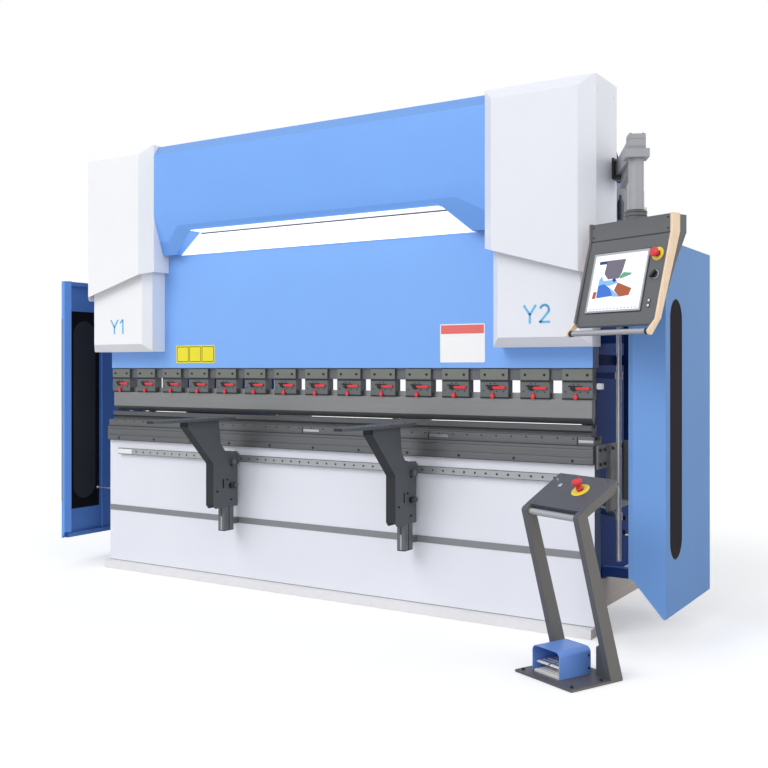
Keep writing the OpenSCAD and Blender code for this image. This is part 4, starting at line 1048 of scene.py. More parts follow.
@dataclass
class Bed(Assembly):
    """Fasteners and trim of the bed, the front rail and the base."""

    screw_pitch: float = 60.0
    screw_count: int = 50
    rail_end: float = 118.0
    strip_pitch: float = 310.0
    strip_count: int = 11
    anchor: tuple[Spot, Spot] = ((-1320.0, 250.0), (1320.0, 1250.0))

    def build(self) -> None:
        """Makes the rail's and the strip's screws, the end cover, the anchors and the foot joint."""
        kit = self.kit
        rail_low, rail_high = kit.low("front_rail"), kit.high("front_rail")
        mid_z = (rail_low.z + rail_high.z) / 2
        unit = Shape().lathe(
            [(4.6, -3), (4.6, 2.4), (4.0, 3.2), (2.2, 3.2), (2.2, 0.6), (AXIS, 0.4)], 14, facing("-Y")
        )
        first = -(self.screw_count - 1) / 2 * self.screw_pitch
        kit.rows(
            "front_rail_screws", unit, (first, rail_low.y + 8, mid_z), (self.screw_pitch, 0, 0),
            self.screw_count, Skin.DARK_BOLT,
        )
        edges = Shape()
        for z in (rail_low.z + 1.2, rail_high.z - 1.2):
            edges.block((rail_low.x, rail_low.y - 1.2, z - 1.2), (rail_high.x, rail_low.y + 0.2, z + 1.2))
        kit.piece("front_rail_edges", edges, Skin.BLACKENED, bevel=0.3)
        plan = rounded((rail_low.x + 1, mid_z - 14), (rail_low.x + self.rail_end, mid_z + 14), 4)
        cover = Shape().prism(plan, rail_low.y - 0.2, rail_low.y + 1, "Y")
        kit.piece("front_rail_end_cover", cover, Skin.WHITE_CAP)
        strip_low, strip_high = kit.low("guide_strip"), kit.high("guide_strip")
        unit = Shape().lathe([(4, -0.5), (4, 0.8), (2.6, 1.8), (AXIS, 2.0)], 16, facing("-Y"))
        kit.rows(
            "guide_strip_screws", unit, (strip_low.x + 50, strip_low.y, (strip_low.z + strip_high.z) / 2),
            (self.strip_pitch, 0, 0), self.strip_count, Skin.STRIP_GREY, slot=Slot.GROUND,
        )
        (x0, y0), (x1, y1) = self.anchor
        start = (x0, y0, kit.high("base_frame").z)
        kit.rows("anchor_bolts", hex_bolt(36, 24), start, (x1 - x0, 0, 0), 2, Skin.BRIGHT, (0, y1 - y0, 0), 2)
        apron = kit.low("bed_apron")
        line = Shape().block(
            (apron.x + 1, apron.y - 0.8, apron.z + 1), (-apron.x - 1, apron.y + 0.2, apron.z + 4)
        )
        kit.piece("apron_foot_joint", line, Skin.STRIP_GREY)


@dataclass
class LowerTool(Assembly):
    """Insets, set screws and joints of the die rail and the crowning table."""

    joints: tuple[float, ...] = (-1600.0, -880.0, -80.0, 720.0, 1520.0)
    inset_length: float = 112.0
    rail_end: float = 1598.0
    clamp_pitch: float = 80.0
    clamp_count: int = 39
    bolt_pitch: float = 300.0
    bolt_count: int = 11

    def build(self) -> None:
        """Makes the silver insets, the dark joints, the set screws and the table's bolts."""
        kit = self.kit
        front = kit.low("die_rail").y
        z0, z1 = kit.low("die_rail").z, kit.high("die_rail").z
        insets, joints = Shape(), Shape()
        for x in self.joints:
            if x > self.joints[0]:
                end = min(x + self.inset_length, self.rail_end)
                insets.prism(rounded((x + 6, z0 + 13), (end, z0 + 25), 2), front - 1.6, front + 0.4, "Y")
                joints.block((x - 3, front - 1.2, z0 + 3), (x + 1.5, front + 0.3, z1 - 2))
        kit.piece("die_rail_insets", insets, Skin.BRIGHT, bevel=0.4)
        kit.piece("die_rail_joints", joints, Skin.DARK_BOLT)
        unit = Shape().lathe(
            [(4.2, -0.4), (4.2, 0.9), (3.8, 1.2), (2, 1.2), (2, 0.2), (AXIS, 0.1)], 14, facing("-Y")
        )
        first = (-1540, front, z1 - 9)
        kit.rows("die_clamp_screws", unit, first, (self.clamp_pitch, 0, 0), self.clamp_count, Skin.DARK_BOLT)
        table = kit.low("crowning_table")
        unit = Shape().lathe(
            [(7, -0.4), (7, 1.4), (6, 2), (3.4, 2), (3.4, 0.4), (AXIS, 0.3)], 18, facing("-Y")
        )
        kit.rows(
            "table_bolts", unit, (-1500, table.y, table.z + 16), (self.bolt_pitch, 0, 0), self.bolt_count,
            Skin.DARK_BOLT,
        )
        lines = Shape()
        for z in (z0 - 1.5, table.z + 0.5):
            lines.block((table.x + 1, table.y - 0.7, z), (-table.x - 1, table.y + 0.3, z + 3))
        kit.piece("table_joint_lines", lines, Skin.DARK_BOLT)


@dataclass
class ToolClamps(Assembly):
    """The fifteen quick clamps: plates, screws, levers and pins."""

    pitch: float = 216.0
    count: int = 15
    width: float = 152.0
    lever_x: float = -18.0
    lever_up: float = 54.0

    def row(self, name: str, unit: Shape, skin: Skin, **rest: Any) -> None:
        """Repeats one clamp's detail at every clamp; rest is passed on to the piece."""
        first = -(self.count - 1) / 2 * self.pitch
        self.kit.rows(name, unit, (first, 0, 0), (self.pitch, 0, 0), self.count, skin, body="ram", **rest)

    def build(self) -> None:
        """Makes the details of all clamps from one clamp's drawing."""
        kit = self.kit
        low, high = kit.low("tool_clamps"), kit.high("tool_clamps")
        front, z0, z1 = low.y, low.z, high.z
        half = self.width / 2
        z_lever = z0 + self.lever_up
        plate = Shape().block((-half + 1, front - 1.6, z0 + 94), (half - 1, front + 0.3, z1 - 1))
        self.row("clamp_top_plates", plate, Skin.CLAMP_PLATE, bevel=0.5)
        head = [(6.4, 0), (6.4, 3.4), (5.6, 4), (3, 4), (3, 1.6), (AXIS, 1.5)]
        bolts = Shape().studs(head, 18, [(x, front - 1.2, z0 + 117) for x in (-50, 50)], "-Y")
        self.row("clamp_cap_screws", bolts, Skin.DARK_BOLT)
        seam = Shape().block((-half + 0.5, front - 0.9, z0 + 82), (half - 0.5, front + 0.4, z0 + 91))
        seam.block((-half + 0.5, front - 0.7, z0 + 0.5), (half - 0.5, front + 0.3, z0 + 8))
        self.row("clamp_hinge_seams", seam, Skin.DARK_BOLT)
        pins = ((-34, 66), (-34, 50), (-60, 38), (14, 36), (52, 34), (-20, 74), (4, 74))
        dots = Shape().studs(
            [(3.6, -0.3), (3.6, 0.7), (AXIS, 0.5)], 14, [(x, front, z0 + z) for x, z in pins], "-Y"
        )
        self.row("clamp_pin_ends", dots, Skin.DARK_BOLT)
        pivot = place((self.lever_x, front, z_lever), "-Y")
        hub = Shape().lathe([(13, 0), (13, 8.5), (11.5, 10), (6, 10), (5, 8.8), (AXIS, 8.8)], 28, pivot)
        hub.block((self.lever_x - 26, front - 6, z_lever + 6), (self.lever_x + 40, front, z_lever + 12))
        self.row("clamp_lever_hubs", hub, Skin.DARK_BOLT, bevel=0.4)
        lever = [(8, -4.5), (24, -6), (70, -8), (80, -5), (83, 0), (80, 5), (70, 7), (24, 6), (8, 4.5)]
        grip = Shape().prism(lever, 2, 9, at=pivot)
        knob = [(4, 0), (4, 4), (9, 5.5), (11, 8), (11, 10.5), (9, 12), (AXIS, 12.5)]
        grip.lathe(knob, 24, place((self.lever_x + 12, front, z0 + 11), "-Y"))
        grip.block((self.lever_x + 8, front - 5, z0 + 16), (self.lever_x + 16, front - 1.5, z0 + 33))
        self.row("clamp_lever_grips", grip, Skin.LEVER_RED, bevel=0.8, replaces=("clamp_levers",))
        top = kit.high("clamp_bar").z
        stop = Shape().prism(rounded((1600.5, top - 100), (1624, top - 72), 3), -16, 14, "Y")
        stop.block((1594, -8, top - 94), (1601, 8, top - 78))
        kit.piece("ram_end_stop", stop, Skin.BRIGHT, "ram", bevel=0.6)


@dataclass
class RamPlates(Assembly):
    """Plain plates on the ram and the axis letters on its covers."""

    yellow: tuple[Spot, Spot] = ((-1037.0, 1282.0), (-731.0, 1387.0))
    white: tuple[Spot, Spot] = ((781.0, 1280.0), (1033.0, 1473.0))
    letter_height: float = 84.0
    letter_stroke: float = 11.0
    letter_x: float = 1373.0
    letter_z: float = 1502.0

    def build(self) -> None:
        """Makes the yellow plate, the white plate and the axis letters."""
        kit = self.kit
        face = kit.low("ram_beam").y
        plate = Shape().prism(rounded(*self.yellow, 6), face - 0.8, face + 0.2, "Y")
        plate.paint = 1
        at = place((0, face, 0)) @ turned(90, "X")
        for x in (-1030, -930.3, -830.6):
            outer = rounded((x, 1289), (x + 92.6, 1380), 5)
            inner = rounded((x + 3.4, 1292.4), (x + 89.2, 1376.6), 4)
            plate.frame(outer, inner, 0.7, 1.2, at)
        kit.piece("ram_yellow_plate", plate, [Skin.LABEL_YELLOW, Skin.DARK_BOLT], "ram")
        sheet = Shape().prism(rounded(*self.white, 6), face - 0.8, face + 0.2, "Y")
        sheet.paint = 1
        sheet.prism(rounded((786, 1424), (1028, 1468), 3), face - 1.2, face - 0.6, "Y")
        kit.piece("ram_white_plate", sheet, [Skin.LABEL_WHITE, Skin.LABEL_RED], "ram")
        cover = kit.low("lower_cover_left").y
        h = self.letter_height / 2
        y_lines = [[(-64, h), (-34, -2), (-4, h)], [(-34, 2), (-34, -h)]]
        figures = (
            [[(14, h * 0.55), (38, h), (38, -h)]],
            [arc((40, h - 22), 22, 165, -25, 9) + [(18, -h + 5)], [(14, -h + 5), (66, -h + 5)]],
        )
        for (side, name), lines in zip(SIDES, figures):
            text = Shape()
            for line in y_lines + lines:
                text.stroke(line, self.letter_stroke, 0, 0.6)
            at = place((side * self.letter_x, cover - 0.3, self.letter_z), "-Y")
            kit.piece(f"axis_letters_{name}", text, Skin.LABEL_CYAN, "ram", at=at)


@dataclass
class Hood(Assembly):
    """The lamp behind the hood's window."""

    half: float = 828.0
    top: float = 2057.7
    reach: float = 96.0

    def build(self) -> None:
        """Makes the lamp's tray, lit by painted light, a dark strip of painted shade above the diffuser, and
        its clips.
        """
        kit = self.kit
        back = kit.low("light_panel").y
        front = back - self.reach
        # The tray glows with the lamp's colour: painted light of the lamp falling on its underside.
        tray = Shape().block((-self.half, front, self.top - 4), (self.half, back - 12, self.top))
        kit.piece("hood_lamp_tray", tray, Skin.LAMP, bevel=0.5)
        # A dark strip of painted shade in the gap between the tray and the diffuser.
        joint = Shape().block((-self.half, back - 1.2, self.top - 13), (self.half, back + 0.2, self.top - 6))
        kit.piece("hood_lamp_joint", joint, Skin.GRAPHITE)
        unit = Shape().lathe([(3.5, -0.3), (3.5, 1.2), (2.4, 2), (AXIS, 2)], 14, facing("-Y"))
        kit.rows("hood_diffuser_clips", unit, (-780, back, self.top - 24), (312, 0, 0), 6, Skin.WHITE_CAP)


@dataclass
class Guards(Assembly):
    """Edging, screws, folds, hinge caps and latches of the two side guards."""

    slot_y: Spot = (63.0, 0.0)
    slot_low: float = 394.0
    slot_high: float = 1562.0
    slot_width: float = 188.0
    sheet: float = 2.5
    window: float = 4.0
    fold: float = 20.0
    fold_end: float = 560.0
    hinge: Spot = (1941.0, 597.0)
    latch: Point = (1640.0, 176.0, 455.0)
    stays: Spot = (525.0, 1200.0)
    stay_height: float = 30.0

    def stadium(self, y: float, grow: float) -> Outline:
        """Returns the slot's outline in the YZ plane, grown by a margin."""
        r = self.slot_width / 2
        ends = (self.slot_low + r, self.slot_high - r)
        return arc((y, ends[1]), r + grow, 0, 180, 20) + arc((y, ends[0]), r + grow, 180, 360, 20)

    def build(self) -> None:
        """Makes the details of both guards."""
        for (side, name), y in zip(SIDES, self.slot_y):
            self.dress_guard(side, y, name)
        self.posts()

    def dress_guard(self, side: int, y: float, name: str) -> None:
        """Makes one guard's details.

        Args:
            side: -1 for the left guard, 1 for the right one.
            y: Place of the slot's middle.
            name: "left" or "right".
        """
        kit, body = self.kit, f"guard_{name}"
        low, high = kit.low(body), kit.high(body)
        outer = high.x if side > 0 else low.x
        inner = outer - side * self.sheet
        skin, glass = (Skin.GUARD_LEFT, Skin.PANE) if side < 0 else (Skin.GUARD_RIGHT, Skin.DARK_PANE)
        turn = Matrix(((0, 0, 1, 0), (1, 0, 0, 0), (0, 1, 0, 0), (0, 0, 0, 1)))
        ends = sorted((outer - side * 0.3, outer - side * 2.4))
        seal = Shape().frame(self.stadium(y, 0.3), self.stadium(y, -4.5), *ends, turn)
        kit.piece(f"{body}_slot_edging", seal, Skin.RUBBER, body, bevel=0.3)
        face = inner - side * self.window
        pane = Shape().prism(self.stadium(y, -2), *sorted((face + side * 0.2, face - side * 0.8)), "X")
        kit.piece(f"{body}_pane_inset", pane, glass, body, bevel=0.2)
        unit = Shape().lathe([(4.5, -0.3), (4.5, 1.4), (3.6, 2.4), (AXIS, 2.8)], 14, facing(outward(-side)))
        edge = self.slot_width / 2 + 22
        kit.rows(
            f"{body}_pane_screws", unit, (face, y - edge, self.slot_low - 40), (0, 2 * edge, 0), 2,
            Skin.DARK_BOLT, (0, 0, 155), 9, body=body,
        )
        folds, front, hem = Shape(), low.y + 30, inner - side * self.fold
        for edge_z, up in ((high.z, -1), (low.z, 1)):
            folds.block((inner, front, edge_z), (hem, self.fold_end, edge_z + up * self.sheet))
            folds.block((hem, front, edge_z), (hem + side * self.sheet, self.fold_end, edge_z + up * 27))
        folds.block((inner, 208, low.z + 30), (inner - side * 14, 222, high.z - 30))
        kit.piece(f"{body}_folds", folds, skin, body, bevel=0.4)
        cap = [(11, -1), (11, 3), (9, 5), (AXIS, 5.5)]
        x, y = side * self.hinge[0], self.hinge[1]
        caps = Shape().studs(cap, 24, [(x, y, kit.low("guard_arms").z)], "-Z")
        caps.studs(cap, 24, [(x, y, kit.high("guard_arms").z)])
        kit.piece(f"{body}_hinge_caps", caps, Skin.BRIGHT, bevel=0.4)
        seat = place((inner, *self.latch[1:]), outward(-side))
        rod = Shape().lathe([(4, 0), (4, 290), (3, 293), (AXIS, 293)], 18, seat)
        rod.lathe([(9, -0.5), (9, 5), (7.5, 6.5), (4.2, 7)], 24, seat)
        kit.piece(f"{body}_latch_rod", rod, Skin.POST, body, bevel=0.3)
        if side < 0:
            edging = Shape().block(
                (outer + 0.4, low.y - 1.6, low.z + 240), (outer + 9, low.y + 0.2, high.z - 242)
            )
            kit.piece(f"{body}_front_edging", edging, Skin.STRIP_GREY, body, slot=Slot.BLUE, bevel=0.3)

    def posts(self) -> None:
        """Makes the two latch posts and their stays, in place of the CAD ones."""
        kit = self.kit
        low, high = kit.low("guard_posts"), kit.high("guard_posts")
        y = self.latch[1]
        bars, upper, lower = Shape(), Shape(), Shape()
        for side, _ in SIDES:
            x = side * self.latch[0]
            at = place((x, y, 0))
            outline = [(10, low.z), (12, low.z + 2), (12, high.z - 2), (10, high.z)]
            bars.lathe([(AXIS, low.z), *outline, (AXIS, high.z)], 32, at)
            plan = [
                (side * FRAME_FACE, 420), (side * FRAME_FACE, 460), (side * (FRAME_FACE + 12), 460),
                (x + side * 6, y + 8), (x + side * 6, y - 8), (x - side * 6, y - 8),
            ]
            for z, shape, holder in zip(self.stays, (lower, upper), (lower, bars)):
                end = z + self.stay_height
                shape.prism(plan, z, end)
                holder.ring([(12.2, z - 2), (17, z - 2), (17, end + 2), (12.2, end + 2)], 32, at)
        kit.piece("latch_posts", bars, Skin.POST, replaces=("guard_posts",))
        kit.piece("latch_stays_lower", lower, Skin.POST, bevel=0.6)
        # The upper stays take the dark blue of painted shade, so they sink into the shaded frame behind them.
        kit.piece("latch_stays_upper", upper, Skin.SHADE_NAVY, slot=Slot.GROUND, bevel=0.6)


@dataclass
class Pendant(Assembly):
    """The control housing on its swing arm."""

    head: Spot = (1872.0, -274.0)
    turn: float = -23.5
    panel_x: float = 15.0
    face_y: float = -56.0
    face_run: float = 97.0
    face_h: float = 380.0
    band_z: float = 1811.7
    top_z: float = 1884.7
    head_z: float = 2151.0
    arm_run: Spot = (-349.0, 177.0)
    half: float = 219.0
    cheek: float = 12.0
    gland: Point = (1626.0, 243.0, 1975.0)
    rail: Spot = (-188.0, 1400.7)
    rail_r: float = 11.0
    stop: Spot = (173.0, 103.0)
    selector: Spot = (177.0, 14.0)
    screen_at: Spot = (-23.0, -4.0)
    screen_size: Spot = (292.0, 251.0)

    def panel(self) -> Matrix:
        """Returns the matrix of the panel: x right, y back, z up."""
        return place((*self.head, 0)) @ turned(self.turn) @ place((self.panel_x, 0, 0))

    def face(self, right: float, up: float) -> Matrix:
        """Returns the matrix of a place on the tilted face: x right, y up, z out."""
        tilt = math.pi / 2 - math.atan(self.face_run / self.face_h)
        middle = place((0, self.face_y - self.face_run / 2, self.band_z - self.face_h / 2))
        return self.panel() @ middle @ Matrix.Rotation(tilt, 4, "X") @ place((right, up, 0))

    def build(self) -> None:
        """Makes the details of the housing, its switches, its tube and its arm."""
        self.housing()
        self.screen()
        self.switches()
        self.hand_rail()
        self.arm()

    def housing(self) -> None:
        """Makes the seam, a dark strip along the left cheek's front edge, the service screws and the tube's
        sleeve.
        """
        kit = self.kit
        half, slant = self.half, math.hypot(self.face_h, self.face_run) / 2
        seam = Shape().block((-half, slant - 6.5, -0.3), (half, slant - 1.0, 0.9))
        kit.piece("housing_seam", seam, Skin.RUBBER, "pendant_head", at=self.face(0, 0), bevel=0.3)
        foot = (self.face_y - self.face_run - 3, self.band_z - self.face_h + 20)
        # A dark strip along the left cheek's front edge, where that edge shows dark.
        edge = Shape().prism(
            [
                (self.face_y - 4, self.top_z + 3.6), (self.face_y - 4, self.band_z + 0.5),
                (foot[0] - 1, foot[1]), (foot[0] - 9, foot[1] - 12), (foot[0] + 8, foot[1] - 8),
                (foot[0] + 20, foot[1] + 20), (self.face_y + 12, self.band_z),
                (self.face_y + 12, self.top_z + 3.6),
            ],
            -half - self.cheek - 0.5,
            -half + 0.7,
            "X",
        )
        kit.piece("left_cheek_edging", edge, Skin.HOUSING, "pendant_head", at=self.panel(), bevel=0.8)
        places = [
            (x, self.face_y, z) for x in (14 - half, half - 14) for z in (self.band_z + 14, self.top_z - 14)
        ]
        screws = Shape().studs([(4, -0.3), (4, 1), (3, 1.8), (AXIS, 2)], 16, places, "-Y")
        kit.piece("housing_band_screws", screws, Skin.DARK_BOLT, "pendant_head", at=self.panel())
        at = place((*self.head, 0))
        low, high = self.top_z + 40, self.head_z - 0.8
        sleeve = Shape().ring([(31.8, low), (33, low), (33, high), (31.8, high)], 48)
        kit.piece("pendant_tube_sleeve", sleeve, Skin.CAST, "pendant_head", at=at, bevel=0.2)
        collar = Shape()
        for z in (low - 8, low - 24):
            collar.ring([(46.6, z), (48, z + 1), (48, z + 3), (46.6, z + 4)], 48)
        collar.ring([(32, low - 0.5), (43, low - 0.5), (40, low + 5), (32, low + 6)], 48)
        kit.piece("tube_collar_rings", collar, Skin.RUBBER, "pendant_head", at=at, bevel=0.3)
        slit = Shape().prism(rounded((-1.6, -26), (1.6, 26), 1.5), -0.3, 0.8, "Y")
        back = self.panel() @ place((0, self.face_y + 98, self.band_z + 34))
        kit.rows(
            "housing_rear_vents", slit, (-70, 0, 0), (10, 0, 0), 15, Skin.RUBBER, body="pendant_head", at=back
        )

    def screen(self) -> None:
        """Makes the screen's glass with a plain drawing of a punch, a sheet and a die."""
        kit = self.kit
        w, h = self.screen_size[0] / 2, self.screen_size[1] / 2
        glass = Shape().block((-w + 0.5, -h + 0.5, 2.9), (w - 0.5, h - 0.5, 3.8))
        areas: list[tuple[int, Outline]] = [
            (1, [(-118, 84), (-30, 84), (-30, 98), (-118, 98)]),
            (2, [(-74, 99), (30, 99), (20, 40), (6, 14), (-54, 14), (-80, 40)]),
            (4, [(-104, 14), (-92, 30), (-78, 8), (-6, 10), (4, -6), (-40, -16), (-104, -10)]),
            (3, [(-104, -12), (-72, -6), (-36, -26), (-10, -62), (-104, -68)]),
            (4, [(-34, -26), (-12, -40), (30, -68), (-10, -66)]),
            (5, [(6, -4), (88, -34), (78, -64), (28, -68), (-8, -38)]),
            (5, [(-126, -40), (-108, -38), (-110, -70), (-128, -70)]),
            (6, [(14, 12), (70, 26), (76, 34), (30, 40), (10, 20)]),
            (1, [(-30, 10), (-14, 16), (-4, 6), (-16, -2)]),
        ]
        for layer, (paint, outline) in enumerate(areas):
            glass.paint = paint
            glass.prism(outline, 3.7, 4.0 + layer * 0.12)
        glass.paint = 7
        for i in range(14):
            x = -w + 14 + i * 19.5
            glass.prism(rounded((x, -h + 4), (x + 10, -h + 10), 2), 3.7, 4.1)
        skins = [
            Skin.SCREEN, Skin.SCREEN_NAVY, Skin.SCREEN_GREY, Skin.SCREEN_BLUE, Skin.SCREEN_LIGHT,
            Skin.SCREEN_RUST, Skin.SCREEN_GREEN, Skin.PALE_GREY,
        ]
        kit.piece("screen_glass", glass, skins, "pendant_head", at=self.face(*self.screen_at))
        outer = rounded((-w - 12, -h - 12), (w + 12, h + 12), 5)
        inner = rounded((-w - 8.2, -h - 8.2), (w + 8.2, h + 8.2), 3)
        rim = Shape().frame(outer, inner, -0.3, 1.6)
        kit.piece(
            "screen_surround", rim, Skin.RUBBER, "pendant_head", at=self.face(*self.screen_at), bevel=0.3
        )

    def switches(self) -> None:
        """Makes the emergency stop, the selector and the two push caps."""
        kit = self.kit
        ring = Shape().ring([(14, -0.3), (29, -0.3), (29, 1.6), (27.5, 2.6), (14, 2.6)], 48)
        kit.piece("stop_ring", ring, Skin.YELLOW, "pendant_head", at=self.face(*self.stop), bevel=0.2)
        foot = [(8, -12), (8, 6), (12, 10), (15, 12), (13, 18), (15, 20)]
        cap = Shape().lathe([*foot, (20, 23), (20, 27), (17, 31), (10, 33), (AXIS, 33.5)], 40)
        kit.piece(
            "stop_mushroom", cap, Skin.RED, "control_stop", at=self.face(*self.stop), bevel=0.3,
            replaces=("control_stop",),
        )
        base = Shape().ring([(15.8, -0.3), (19, -0.3), (19, 2.2), (17.6, 3), (15.8, 3)], 40)
        kit.piece("selector_ring", base, Skin.BEZEL, "pendant_head", at=self.face(*self.selector), bevel=0.2)
        lever = Shape().lathe([(8, -12), (8, 1.2), (15, 1.4), (15, 7.5), (13.5, 9), (AXIS, 9)], 36)
        lever.prism(rounded((-5.5, -20), (5.5, 17), 4), 8.5, 21, at=turned(-40))
        kit.piece(
            "selector_knob", lever, Skin.BLACK, "control_selector", at=self.face(*self.selector), bevel=0.8,
            replaces=("control_selector",),
        )
        caps = Shape()
        for up in (-97, -119):
            at = place((0, up, 0))
            caps.paint = 0
            caps.lathe([(5.5, 0.5), (5.5, 4), (4.6, 5), (AXIS, 5)], 24, at)
            caps.paint = 1
            caps.ring([(5.8, -0.3), (8, -0.3), (8, 2), (5.8, 2.8)], 24, at)
        kit.piece("push_caps", caps, [Skin.WHITE_CAP, Skin.DARK_BOLT], "pendant_head", at=self.face(170, 0))

    def hand_rail(self) -> None:
        """Makes the rail's bright tube and its dark end sockets."""
        kit = self.kit
        r, half = self.rail_r, self.half
        at = self.panel() @ place((-half, *self.rail)) @ turned(90, "Y")
        tube = Shape().ring(
            [(r - 0.3, 8), (r + 0.8, 8), (r + 0.8, 2 * half - 8), (r - 0.3, 2 * half - 8)], 32
        )
        kit.piece("hand_rail_tube", tube, Skin.RAIL, "pendant_head", at=at, bevel=0.2)
        ends = Shape()
        for z0, z1 in ((0.5, 14), (2 * half - 14, 2 * half - 0.5)):
            ends.ring([(r, z0), (r + 3, z0), (r + 3, z1), (r, z1)], 32)
        kit.piece("hand_rail_sockets", ends, Skin.RUBBER, "pendant_head", at=at, bevel=0.6)

    def arm(self) -> None:
        """Makes the arm's lid joint, its screws and the gland beside it."""
        kit = self.kit
        high = kit.high("pendant_arm")
        turn = Matrix.Rotation(math.atan2(*self.arm_run), 4, "Z")
        at = place((*self.head, 0)) @ turn
        block = Shape()
        for z, r in ((high.z - 22, 36), (self.head_z + 39, 36), (self.head_z + 47, 36)):
            inner = rounded((-r + 1, -r + 1), (r - 1, r - 1), 2)
            block.frame(rounded((-r - 0.8, -r - 0.8), (r + 0.8, r + 0.8), 3), inner, z, z + 2)
        kit.piece(
            "arm_head_joints", block, Skin.STRIP_GREY, "pendant_arm", slot=Slot.CASTING, at=at, bevel=0.3
        )
        places = [(x, y, high.z) for x, y in ((-26, -26), (26, -26), (26, 26), (-26, 26))]
        head = [(4.5, -0.3), (4.5, 3), (3.8, 4), (2.2, 4), (2.2, 1.5), (AXIS, 1.4)]
        screws = Shape().studs(head, 18, places)
        kit.piece("arm_lid_screws", screws, Skin.DARK_BOLT, "pendant_arm", at=at)
        gland = Shape().lathe(
            [(14, 0), (14, 62), (15, 64), (15, 84), (10, 96), (6, 99), (6, 118), (AXIS, 118.5)], 28
        )
        gland.ring([(14, 20), (15.6, 20), (15.6, 26), (14, 26)], 6)
        kit.piece("cabinet_gland", gland, Skin.GRAPHITE, slot=Slot.BLACK, at=place(self.gland), bevel=0.4)


